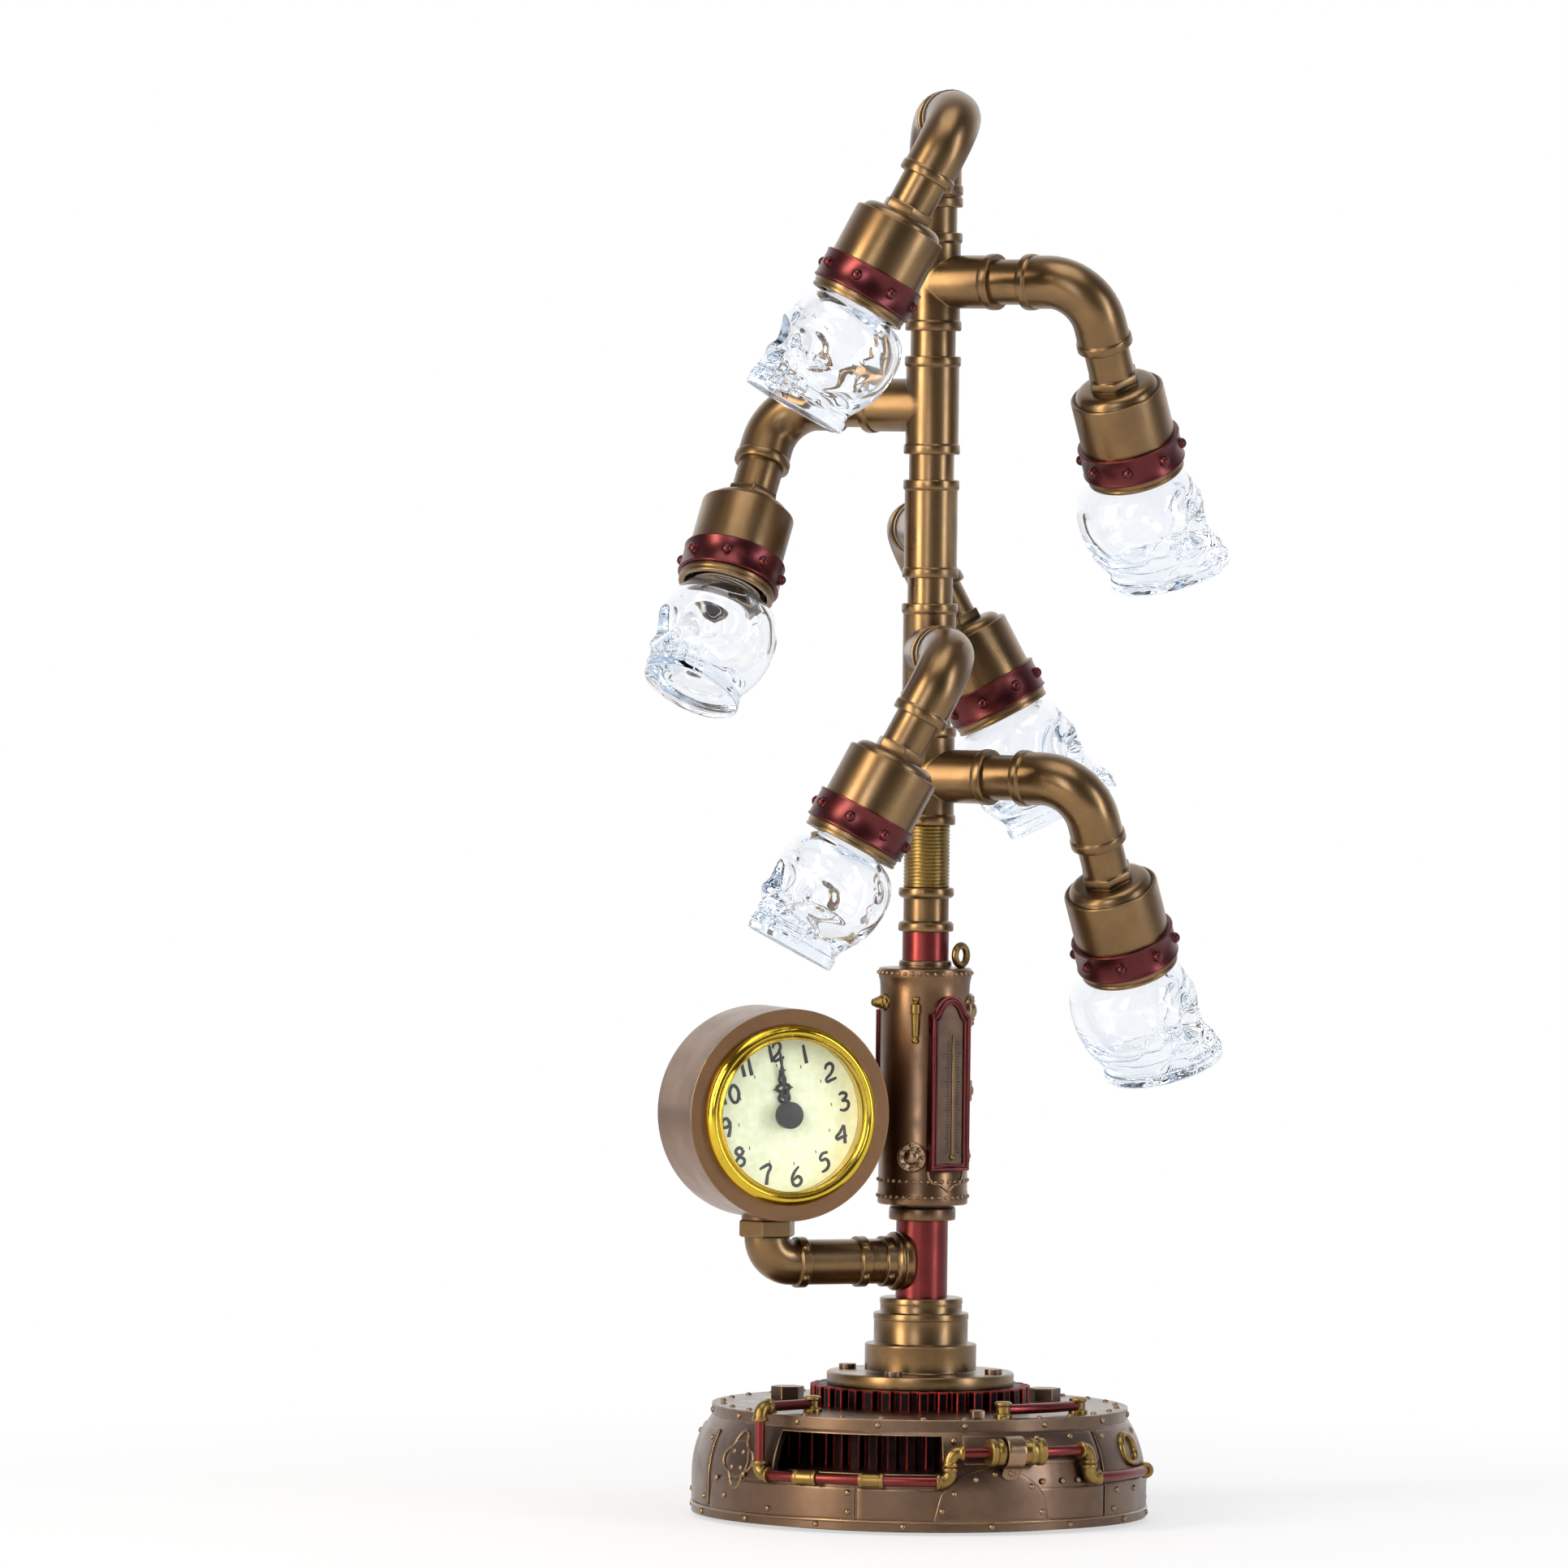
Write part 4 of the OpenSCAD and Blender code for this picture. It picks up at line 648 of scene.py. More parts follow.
SKIN_RINGS = [
    (5, 10.0, 10.0, 10.0), (4.7, 10.3, 10.3, 10.3), (2.5, 10.3, 10.3, 10.3), (0.5, 10.3, 10.3, 10.3),
    (-0.3, 10.9, 11.6, 12.6), (-1, 12.6, 13.8, 16.4), (-2, 14.0, 15, 18.8), (-3.5, 15.7, 16.1, 20.6),
    (-5, 17, 17, 21.8), (-7.5, 18.4, 17.9, 22.7), (-10, 19.3, 18.5, 23.1), (-12.5, 19.7, 19, 23.2),
    (-15, 19.8, 19.3, 23.1), (-17, 19.75, 19.1, 22.9), (-19, 19.6, 18.7, 22.7), (-22, 19, 18.2, 22),
    (-24, 18.4, 18.7, 21.5), (-26, 17.7, 19.5, 20.9), (-28, 16.6, 20.4, 19.9), (-30, 15.4, 21.2, 18.8),
    (-31.5, 14.6, 21.8, 17.8), (-33, 14, 22.3, 16.9), (-34.5, 13.6, 22.7, 16.5),
    (-35.4, 13.5, 22.9, 16.4), (-35.6, 13.9, 23.3, 16.9), (-35.8, 14.1, 23.5, 17.1),
    (-37, 14.1, 23.6, 17.2), (-39, 14.1, 23.5, 17.1), (-39.35, 13.95, 23.3, 16.9),
    (-39.5, 13.5, 22.9, 16.5), (-39.5, 11.5, 20, 14), (-39.2, 8.5, 15, 10.5), (-39.1, 4, 6, 5),
    (-39.1, 0.5, 0.5, 0.5),
]
RING_POINTS = 48
start_fresh()
bpy.ops.mesh.primitive_circle_add(vertices=RING_POINTS, radius=HOLLOW_RINGS[0][1] * MM, fill_type="NGON",
                                  location=(0, 0, HOLLOW_RINGS[0][0] * MM))
skull = bpy.context.object
skull.name = "skull"
bpy.ops.object.transform_apply(location=True)
edit_all()
rings = HOLLOW_RINGS + SKIN_RINGS
for (z0, w0, f0, b0), (z1, w1, f1, b1) in zip(rings, rings[1:]):
    middle = Vector((0, (b0 - f0) / 2, z0)) * MM
    step = Vector((0, (b1 - f1) / 2 - (b0 - f0) / 2, z1 - z0)) * MM
    bpy.ops.mesh.extrude_region_move(TRANSFORM_OT_translate={"value": step})
    bpy.ops.transform.resize(value=(w1 / w0, (f1 + b1) / (f0 + b0), 1), center_override=middle + step)
weld(1e-7)
skin = skull.vertex_groups.new(name="skin")
first_skin = RING_POINTS * len(HOLLOW_RINGS)
skin.add(list(range(first_skin, len(skull.data.vertices))), 1.0, "REPLACE")
rounding = skull.modifiers.new("rounding", "SUBSURF")
rounding.levels = rounding.render_levels = 2
pick(skull)
bpy.ops.object.modifier_apply(modifier="rounding")
print("skull loft:", len(skull.data.vertices), "vertices")

# %% Face of the skull


def soft(*offsets):
    """1 in the middle of a dent and 0 outside it; an offset of 1 is its half-height edge."""
    return math.exp(-0.7 * sum(u * u for u in offsets))


def flat_dent(*offsets):
    """A dent with an even bottom and a steeper wall."""
    return math.exp(-0.7 * sum(u * u for u in offsets) ** 2)


def falloff(offset):
    """1 well below an offset of 0, and 0 well above it."""
    return 1 / (1 + math.exp(offset))


def face_relief(a, down):
    """Relief of the skin in millimetres, at the angle a from the face and a depth below the lip."""
    b = abs(a)
    eye = -5.0 * flat_dent((b - 28 - 0.5 * (down - 19.8)) / 15, (down - 19.8) / 4.6)
    nose = -3.0 * flat_dent(a / max(2.5 + 1.1 * (down - 23.5), 2.0), (down - 27) / 3.2)
    ridge = 0.9 * soft(a / 5, (down - 21.5) / 3.5)
    cheek = 1.7 * soft((b - 51) / 13, (down - 25.8) / 2.6)
    brow = 1.4 * soft((b - 24) / 20, (down - 14.0) / 1.9)
    temple = -1.3 * soft((b - 76) / 13, (down - 18) / 5)
    under_cheek = -2.2 * soft((b - 64) / 14, (down - 31) / 3.0)
    jaw = 0.8 * soft((b - 84) / 12, (down - 32) / 3.5)
    ear = -0.9 * soft((b - 97) / 5, (down - 23) / 2)
    row = falloff((b - 42) / 2.0) * falloff((30.4 - down) / 0.3) * falloff((down - 36) / 0.3)
    gap = abs((a % 10.5) - 5.25)
    between = 1.3 * math.exp(-((5.25 - gap) / 1.3) ** 2)
    bite = 1.5 * math.exp(-((down - 33.2) / 0.5) ** 2)
    teeth = row * (0.7 - between - bite)
    zigzag = 3.0 * abs(((down / 2.2) % 2) - 1) - 1.5
    seam_band = falloff((5 - down) / 0.8) * falloff((down - 17) / 0.8)
    seam = -0.45 * seam_band * math.exp(-((b - 84 - 2.2 * zigzag) / 1.6) ** 2)
    return eye + nose + ridge + cheek + brow + temple + under_cheek + jaw + ear + teeth + seam


group = skull.vertex_groups["skin"].index
pressed = 0
for vertex in skull.data.vertices:
    weight = sum(g.weight for g in vertex.groups if g.group == group)
    x, y, down = vertex.co.x / MM, vertex.co.y / MM, -vertex.co.z / MM
    reach = math.hypot(x, y)
    if weight > 0.95 and 2 < down < 38 and reach > 11:
        push = face_relief(math.degrees(math.atan2(x, -y)), down)
        vertex.co += Vector((x, y, 0)) / reach * push * MM
        pressed += abs(push) > 0.05
pick(skull)
bpy.ops.object.shade_smooth()
print("skin vertices pressed:", pressed)

# %% Six skulls


def under_lip(i):
    """Seat of a skull: at the cup's lip, with the turn of that head's skull about its neck."""
    return Matrix.Translation((0, 0, -LIP_Z * MM)) @ Matrix.Rotation(math.radians(HEADS[i][3]), 4, "Z")


on_heads(skull, "glass_skull", "glass", "glass", "skull", under_lip)
print("skull faces each:", len(skull.data.polygons))

# %% [markdown]
# ## The clock's face
# The dial is a cream card with brush-drawn numerals, a dot inside each, and dark hands with loops.
# Numerals could be set with a font, but the real ones are loose strokes of a brush, so each is a few
# curve points with a round bevel. The curve is turned into a mesh and pressed flat before it is put
# on the dial. The hands are drawn the same way, only thicker.

# %% Clock frame and brush strokes
CLOCK_X = -56
CLOCK_SPOT = Vector((CLOCK_X, -20, 136.5)) * MM
INSERT_TURN = 7.5
PRINT_TURN = 11.4
clock_frame = Matrix.Translation(CLOCK_SPOT) @ Matrix.Rotation(math.radians(90), 4, "X")
insert_frame = clock_frame @ Matrix.Rotation(math.radians(INSERT_TURN), 4, "Z")


def new_curve(name, depth, resolution):
    """A curve with a round bevel and closed ends; depth in millimetres."""
    start_fresh()
    curve = bpy.data.curves.new(name, "CURVE")
    curve.dimensions = "3D"
    curve.bevel_depth = depth * MM
    curve.bevel_resolution = resolution
    curve.use_fill_caps = True
    return curve


def curve_to_mesh(name, curve):
    piece = bpy.data.objects.new(name, curve)
    scene.collection.objects.link(piece)
    pick(piece)
    bpy.ops.object.convert(target="MESH")
    return bpy.context.object


def brush(name, lines, width, flat):
    """Strokes through points (x, y) or (x, y, share of the width), as a mesh pressed to a flat height."""
    drawing = new_curve(name, width / 2, 2)
    drawing.resolution_u = 6
    for line in lines:
        spline = drawing.splines.new("BEZIER")
        spline.bezier_points.add(len(line) - 1)
        for point, spot in zip(spline.bezier_points, line):
            point.co = (spot[0] * MM, spot[1] * MM, 0)
            point.handle_left_type = point.handle_right_type = "AUTO"
            point.radius = spot[2] if len(spot) > 2 else 1.0
    return place(curve_to_mesh(name, drawing), Matrix.Diagonal((1, 1, flat / width, 1)))


# %% Numerals and dots
DIGITS = {
    "0": [[(30, 100), (9, 72), (11, 22), (32, 0), (53, 28), (51, 74), (30, 100)]],
    "1": [[(27, 102, 0.9), (30, 50, 1.1), (35, 0, 1.2)]],
    "2": [[(3, 72, 0.7), (14, 93), (38, 97), (50, 78), (38, 48), (4, 6, 0.9), (32, 8), (64, 14, 0.8)]],
    "3": [[(8, 92, 0.7), (32, 99), (52, 84), (22, 56, 0.8)],
          [(22, 56, 0.8), (54, 48), (58, 22), (36, 3), (4, 10, 0.7)]],
    "4": [[(52, 98, 0.8), (26, 62), (2, 32), (34, 34), (66, 38, 0.7)],
          [(56, 96, 0.7), (52, 50), (48, -4, 1.1)]],
    "5": [[(60, 98, 0.8), (24, 92), (14, 62, 0.8), (44, 62), (58, 38), (46, 10), (12, -4, 0.7)]],
    "6": [[(52, 102, 0.7), (20, 72), (5, 34), (18, 5), (46, 6), (58, 30), (40, 48), (14, 34, 0.7)]],
    "7": [[(0, 86, 0.7), (24, 95), (62, 96), (44, 52), (30, -4, 1.2)]],
    "8": [[(52, 84), (32, 100), (11, 84), (28, 56), (54, 26), (34, 1), (6, 20), (28, 52), (50, 72),
           (52, 84)]],
    "9": [[(52, 74), (34, 99), (10, 82), (14, 56), (40, 54), (54, 76)], [(54, 80), (50, 38), (36, -4, 1.1)]],
}
NUMERAL_H = 6.0
NUMERAL_RING = 20.9
NUMERAL_SLANT = 0.35
DOT_RING = 16.6
DIAL_FACE = -4.8
lines = []
for hour in range(1, 13):
    angle = math.radians(30 * hour)
    outwards = Vector((math.sin(angle), math.cos(angle)))
    middle = outwards * NUMERAL_RING
    text = str(hour)
    pitch = NUMERAL_H * (0.42 if text in ("11", "12") else 0.62)
    for k, digit in enumerate(text):
        across = (k - (len(text) - 1) / 2) * pitch
        for stroke in DIGITS[digit]:
            lines.append([
                (middle.x + across + (p[0] - 30) / 100 * NUMERAL_H + (p[1] - 50) / 100 * NUMERAL_SLANT,
                 middle.y + (p[1] - 50) / 100 * NUMERAL_H, *p[2:])
                for p in stroke
            ])
    dot = outwards * DOT_RING
    lines.append([(dot.x - 0.16, dot.y), (dot.x + 0.16, dot.y)])
print_frame = (
    clock_frame
    @ Matrix.Rotation(math.radians(PRINT_TURN), 4, "Z")
    @ Matrix.Translation((0, 0, (DIAL_FACE + 0.03) * MM))
)
numerals = brush("dial_numerals", lines, 1.1, 0.06)
dress(place(numerals, print_frame), "insert", "black_plastic", "ink")
print("numeral faces:", len(numerals.data.polygons))

# %% [markdown]
# ## Hands
# Both hands are cut from black sheet: loops near the hub, then a swelling blade. The hour hand hides
# half under the minute hand, as at noon. The cap is a dark turned button on the arbor.

# %% Hands
HOUR_Z = -4.05
MINUTE_Z = -2.95


def both_sides(*strokes):
    """Each stroke, followed by its mirror image."""
    return [[(side * x, *rest) for x, *rest in stroke] for stroke in strokes for side in (1, -1)]


hour_lines = [[(0, 2.5, 1.2), (0, 4.2, 1.0)]] + both_sides(
    [(0, 4.0), (-1.5, 4.8), (-1.7, 6.2), (0, 7.4)],
    [(0, 7.2, 1.3), (-1.4, 8.0), (-2.3, 8.9), (-1.2, 10.0), (0, 10.2)],
    [(-2.0, 8.9, 0.8), (-3.5, 8.7, 0.3)],
    [(0, 10.0, 1.2), (-1.0, 11.4, 0.9), (-0.5, 13.4, 1.0), (0, 15.8, 0.3)],
)
minute_lines = [
    [(0, 2.5, 1.4), (0, 6.0, 1.0)],
    *both_sides([(0, 5.6), (-1.1, 6.6), (-0.9, 8.0), (0, 8.8)]),
    [(0, 8.6, 1.2), (0, 12.4, 0.8), (0, 14.8, 1.5), (0, 16.6, 0.9), (0, 18.2, 1.3), (0, 20.6, 0.7),
     (0, 23.6, 0.25)],
    [(-1.3, 14.9, 0.3), (0, 14.8, 0.9), (1.3, 14.9, 0.3)],
]
hub = lathe("hour_hub", [(1.3, -0.25), (3.0, -0.25), (3.0, 0.2), (2.8, 0.25), (1.3, 0.25)], steps=40)
hour = joined("loop_hour_hand", [brush("hour_lines", hour_lines, 1.15, 0.45), hub])
hour_frame = insert_frame @ Matrix.Translation((0, 0, HOUR_Z * MM))
dress(place(hour, hour_frame), "hour", "black_plastic", "ink", "hour_hand")
cap = lathe("cap", [
    (0, -0.25), (3.1, -0.25), (3.1, 0.25), (4.3, 0.3), (4.5, 0.5), (4.5, 3.3), (4.35, 3.6), (4.0, 3.75),
    (0, 3.75),
], steps=48, closed=False)
minute = smooth(joined("loop_minute_hand", [brush("minute_lines", minute_lines, 1.05, 0.45), cap]), 40)
dress(place(minute, insert_frame @ Matrix.Translation((0, 0, MINUTE_Z * MM))),
      "minute", "black_plastic", "ink", "minute_hand")
print("hand faces:", len(hour.data.polygons), len(minute.data.polygons))

# %% [markdown]
# ## Bezel and lens
# The bezel is polished brass: a broad roll outside and a thin bead inside, with the sleeve behind it.
# The lens is a shallow dome. Both are lathe work. The lens casts no shadow, as thin clear glass
# hardly does, so that the dial stays bright.

# %% Bezel and lens
bezel = lathe("rolled_bezel", [
    (25.72, -14.0), (26.93, -14.0), (26.93, -0.02), (30.1, 0.02), (30.3, 0.25), (30.3, 0.9),
    (30.1, 1.7), (29.6, 2.5), (28.9, 3.15), (28.1, 3.5), (27.4, 3.45), (27.0, 3.15), (26.85, 3.05),
    (26.7, 3.15), (26.55, 3.6), (26.25, 4.0), (25.9, 4.15), (25.6, 4.0), (25.42, 3.6), (25.4, 2.95),
    (26.2, 2.95), (26.2, 1.35), (25.42, 1.3), (25.4, 0.0), (25.72, -0.3),
], steps=96)
dress(place(smooth(bezel, 40), insert_frame), "insert", "gold", "bezel_gold", "clock_bezel")
dome = lathe("domed_lens", [
    (0, 1.4), (26.15, 1.4), (26.15, 1.6), (24.0, 1.95), (20.0, 2.3), (14.0, 2.6), (7.0, 2.75), (0, 2.8),
], steps=72, closed=False)
dress(place(smooth(dome, 30), insert_frame), "insert", "glass", "lens_glass", "clock_lens")
dome.visible_shadow = False
print("bezel faces:", len(bezel.data.polygons))

# %% [markdown]
# ## Rivets
# Hundreds of small domes hold the plates of the drum and the boiler. One dome is modelled: a small
# ball, cut at its middle by bisect and pressed a little flat. It is copied to a list of frames and
# each group is joined to one piece.

# %% Rivet model


def dome_rivet(radius, height, segments=10, rings=6):
    start_fresh()
    bpy.ops.mesh.primitive_uv_sphere_add(segments=segments, ring_count=rings, radius=radius * MM)
    piece = bpy.context.object
    edit_all()
    below = (0, 0, -0.15 * radius * MM)
    bpy.ops.mesh.bisect(plane_co=below, plane_no=(0, 0, 1), use_fill=True, clear_inner=True)
    bpy.ops.mesh.select_all(action="SELECT")
    bpy.ops.transform.resize(value=(1, 1, height / radius), center_override=(0, 0, 0))
    bpy.ops.object.mode_set(mode="OBJECT")
    return smooth(piece, 50)


def scatter(model, name, frames):
    """Copies a model to each frame, every copy with its own mesh, and joins the copies."""
    copies = []
    for matrix in frames:
        twin = model.copy()
        twin.data = model.data.copy()
        twin.data.transform(matrix)
        scene.collection.objects.link(twin)
        copies.append(twin)
    return joined(name, copies)


def facing(az, ring_r, z, rise=0.0):
    """Frame whose +Z looks outwards at an azimuth, tilted up by a rise in degrees."""
    return azimuth_frame(az, ring_r, z) @ Matrix.Rotation(math.radians(90 - rise), 4, "X")


rivet = dome_rivet(1.1, 0.85)
small_rivet = dome_rivet(0.7, 0.7)
print("faces of a rivet:", len(rivet.data.polygons))

# %% [markdown]
# ## Boiler
# The can has a flared, riveted top, a stepped collar below and two rows of rivets round its foot. The
# can is turned again with these softer lines; the rivets ride on it.

# %% Boiler
can = lathe("boiler_can", [
    (4.5, 99.9), (10.8, 99.9), (11.1, 100.1), (11.2, 100.5), (11.2, 103.6), (11.0, 104.1),
    (10.6, 104.4), (10.5, 104.9), (10.8, 105.15), (14.6, 105.2), (15.0, 105.4), (15.15, 105.9),
    (15.15, 109.7), (15.0, 109.95), (15.0, 176.5), (15.06, 178.6), (15.22, 180.2), (15.5, 181.4),
    (15.68, 182.2), (15.7, 183.9), (15.55, 184.4), (15.2, 184.7), (9.6, 184.7), (9.1, 184.85),
    (8.8, 185.2), (8.9, 186.3), (8.75, 186.9), (8.4, 187.2), (4.5, 187.2),
], steps=72)
dress(smooth(can, 32), "root", "dark_bronze", "boiler_bronze", "boiler")
RIVETS_IN_ROW = 38
rows = [
    facing(360 * k / RIVETS_IN_ROW + turn, ring_r, z)
    for turn, ring_r, z in ((0, 15.68, 183.1), (0, 15.13, 108.0), (4, 14.98, 113.4))
    for k in range(RIVETS_IN_ROW)
]
dress(scatter(small_rivet, "boiler_rivets", rows), "root", "dark_bronze", "rivet_bronze_lit")
print("boiler rivets:", len(rows))

# %% [markdown]
# ## Cast fittings
# The tees and elbows of the column are castings with a soft bead at each open end. A ring could be
# extruded along the pipe and turned at each step. A curve does the same in one go: each point carries
# a radius, and the round bevel makes the bar. Points close together with growing radius draw a bead.

# %% Round bar along a path
BEAD = [(0.0, 0.85), (0.02, 0.955), (0.22, 0.985), (0.65, 1.0), (2.6, 1.0), (3.05, 0.99), (3.35, 0.965),
        (3.6, 0.942)]


def swept(name, points, resolution=12):
    """Round bar through points (x, y, z, radius) in millimetres, as a closed mesh."""
    path = new_curve(name, 1.0, resolution)
    spline = path.splines.new("POLY")
    spline.points.add(len(points) - 1)
    for point, (x, y, z, r) in zip(spline.points, points):
        point.co = (x * MM, y * MM, z * MM, 1)
        point.radius = r
    piece = curve_to_mesh(name, path)
    edit_all()
    weld()
    return smooth(piece, 32)


def bead(end, inward, radius, scale=1.0):
    """Points of a bead at an open end, from the end inwards along a direction."""
    return [(*(Vector(end) + Vector(inward) * s * scale), radius * share) for s, share in BEAD]


def quarter(corner, start, finish, bend, radius, steps=12):
    """Points of a quarter bend round a corner, from one direction to another."""
    a, b = Vector(start), Vector(finish)
    middle = Vector(corner) + (a + b) * bend
    turns = [math.pi / 2 * k / steps for k in range(steps + 1)]
    return [(*(middle - b * bend * math.cos(t) - a * bend * math.sin(t)), radius) for t in turns]


def elbow_bar(name, start, finish, reach, bend, radius, bead_r, scale=1.0, resolution=12):
    """An elbow whose corner is the origin, with a bead at the end of each of its two legs."""
    a, b = Vector(start), Vector(finish)
    return swept(name, bead(a * reach, -a, bead_r, scale) + quarter((0, 0, 0), a, b, bend, radius)
                 + bead(b * reach, -b, bead_r, scale)[::-1], resolution)


# %% Tees, elbows and nipples
PIPE_R = 7.6
CAST_R = 8.9
CAST_BEND = 15.5
COLLAR_R = 9.5
tee_run = swept("tee_run", bead((0, 0, -16.5), (0, 0, 1), COLLAR_R)
                + bead((0, 0, 16.5), (0, 0, -1), COLLAR_R)[::-1])
tee_branch = swept("tee_branch", [(0, 0, 0, CAST_R)] + bead((0, -25, 0), (0, 1, 0), COLLAR_R)[::-1])
tee = joined("tee", [tee_run, tee_branch])
top = elbow_bar("top_elbow", (0, 0, -1), (0, -1, 0), 25, CAST_BEND, CAST_R, COLLAR_R)
foot = swept("elbow_foot", bead((0, 0, -29), (0, 0, 1), COLLAR_R) + [(0, 0, -14, 8.95)])
top = place(joined("top_elbow", [top, foot]), azimuth_frame(HEADS[1][1], 0, HEADS[1][0]))
frames = [azimuth_frame(HEADS[i][1], 0, HEADS[i][0]) for i in range(2, 7)]
castings = joined("cast_tees", [top, scatter(tee, "tees", frames)])
bpy.data.objects.remove(tee)
dress(castings, "root", "bronze", "bronze", "column_tees")
elbow = elbow_bar("cast_elbow", (0, 1, 0), (0, 0, -1), 24, CAST_BEND, CAST_R, COLLAR_R)
on_heads(elbow, "cast_elbow", "bronze", "bronze", "elbow")
pipes = []
for i, (z, az, _, _) in HEADS.items():
    arm = swept("arm_pipe", [(0, -19, 0, PIPE_R), (0, -43.5, 0, PIPE_R)])
    pipes.append(place(arm, azimuth_frame(az, 0, z)))
    if i > 1:
        pipes.append(swept("nipple", [(0, 0, z + 10.5, PIPE_R), (0, 0, z + 31, PIPE_R)]))
pipes.append(swept("union", bead((0, 0, 197), (0, 0, 1), 9.3, 0.88)
                   + [(0, 0, 200.6, PIPE_R), (0, 0, 208.1, PIPE_R)]
                   + bead((0, 0, 211.7), (0, 0, -1), 9.3, 0.88)[::-1]))
dress(joined("pipe_nipples", pipes), "root", "bronze", "bronze", "column_nipples")
print("tee faces:", len(castings.data.polygons), "elbow faces:", len(elbow.data.polygons))

# %% [markdown]
# ## Studded bands
# A dark red strap with a raised edge on both sides and eight domed studs. It is a closed lathe with
# the studs set round it, modelled once and copied to the six heads.

# %% Bands
strap = lathe("strap", [
    (15.93, -58.7), (17.1, -58.7), (17.42, -58.85), (17.5, -59.15), (17.4, -59.5), (17.22, -59.8),
    (17.22, -67.6), (17.4, -67.9), (17.5, -68.25), (17.42, -68.55), (17.1, -68.7), (15.93, -68.7),
], steps=64)
stud = dome_rivet(1.85, 1.75, segments=14, rings=10)
STUDS = 8
studs = scatter(stud, "studs", [facing(360 / STUDS * (k + 0.5), 17.25, -63.7) for k in range(STUDS)])
bpy.data.objects.remove(stud)
strap = smooth(joined("studded_band", [strap, studs]), 40)
on_heads(strap, "studded_band", "red_metal", "crimson", "band")
print("band faces:", len(strap.data.polygons))

# %% [markdown]
# ## Pedestal
# Three turned steps on a bolted flange. Every edge is broken, and the middle and top steps have a
# narrow lip, so the pedestal is turned once more with these lines.

# %% Pedestal
pedestal = lathe("turned_pedestal", [
    (4.5, 44.3), (31.1, 44.3), (31.4, 44.5), (31.5, 44.9), (31.5, 48.0), (31.35, 48.5), (30.9, 48.8),
    (19.5, 48.8), (19.0, 48.95), (18.75, 49.3), (18.75, 57.3), (18.8, 57.5), (18.75, 58.0),
    (18.4, 58.3), (16.4, 58.3), (16.0, 58.5), (15.8, 59.0), (15.8, 66.3), (16.0, 66.6), (16.0, 68.2),
    (15.85, 68.6), (15.4, 68.7), (14.3, 68.7), (13.95, 68.85), (13.75, 69.3), (13.75, 71.6),
    (13.9, 71.8), (13.9, 73.3), (13.75, 73.65), (13.3, 73.8), (4.5, 73.8),
], steps=80)
dress(smooth(pedestal, 32), "root", "bronze", "bronze", "pedestal")
print("pedestal faces:", len(pedestal.data.polygons))

# %% [markdown]
# ## Brass pipework
# Small brass elbows, couplings and a valve lead a red pipe round the drum. They are bars along paths
# again, each with beads at its ends, about a frame on the drum: X runs along the wall and -Y looks out.

# %% Brass pipework
FEED_R = 78.4
FEED_REACH = 4.6
FEED_BEND = 3.0
FEED_CAST = 2.35
FEED_BEAD = 2.75
FEED_LOW = 18
FEED_HIGH = 27.6
LEFT, RIGHT, INWARDS, DOWN, UP = (-1, 0, 0), (1, 0, 0), (0, 1, 0), (0, 0, -1), (0, 0, 1)
brass = []
for az, z, start, end in (
    (-64.5, FEED_LOW, RIGHT, UP), (-14.5, FEED_LOW, LEFT, UP), (-14.5, FEED_HIGH, RIGHT, DOWN),
    (24, FEED_HIGH, LEFT, DOWN), (24, FEED_LOW, RIGHT, UP), (-64.5, 40.3, INWARDS, DOWN),
    (56, FEED_LOW, LEFT, INWARDS),
):
    bar = elbow_bar("feed_elbow", start, end, FEED_REACH, FEED_BEND, FEED_CAST, FEED_BEAD, 0.36, 6)
    brass.append(place(bar, azimuth_frame(az, FEED_R, z)))


def on_drum(az, z, radius):
    """Point on the feed's circle round the drum."""
    a = math.radians(az)
    return (FEED_R * math.sin(a), -FEED_R * math.cos(a), z, radius)


for az in (-53.5, -36.5):
    steps = [(0, 2.3), (0.05, 2.7), (0.3, 2.75), (0.8, 2.7), (1.0, 2.35), (3.0, 2.3), (5.0, 2.35),
             (5.2, 2.7), (5.7, 2.75), (5.95, 2.7), (6.0, 2.3)]
    brass.append(swept("coupling", [on_drum(az + s, FEED_LOW, r) for s, r in steps], 6))
VALVE = [(-10, 3.6), (-9.95, 4.3), (-9.6, 4.6), (-8.0, 4.6), (-7.6, 4.3), (-7.2, 4.0), (-6.8, 4.3),
         (-6.2, 4.45), (-5.2, 4.45), (-4.8, 4.1), (-4.4, 3.9)]
profile = VALVE + [(-s, r) for s, r in VALVE[::-1]]
valve = swept("valve", [(s, 0, 0, r) for s, r in profile])
brass.append(place(valve, azimuth_frame(2, FEED_R, FEED_HIGH)))
TAP = [(0, 37.4), (3.2, 37.4), (3.2, 38.7), (2.5, 39.1), (2.5, 41.4), (2.95, 41.8), (2.95, 42.6),
       (2.3, 43.0), (0, 43.1)]
for az, ring_r in ((-64.5, 53), (5, 61), (38, 61)):
    brass.append(place(smooth(lathe("tap", TAP, steps=20, closed=False), 40), azimuth_frame(az, ring_r)))
THREAD_FOOT = 211.7
THREAD_TURNS = 17
THREAD_PITCH = 1.235
thread = [(7.3, THREAD_FOOT)]
for k in range(THREAD_TURNS):
    low = 211.8 + THREAD_PITCH * k
    thread += [(7.45, low), (7.75, low + 0.35), (7.75, low + 0.75), (7.45, low + 1.1)]
thread += [(7.3, 232.8), (4.5, 232.8), (4.5, THREAD_FOOT)]
brass.append(smooth(lathe("thread_sleeve", thread, steps=48), 25))
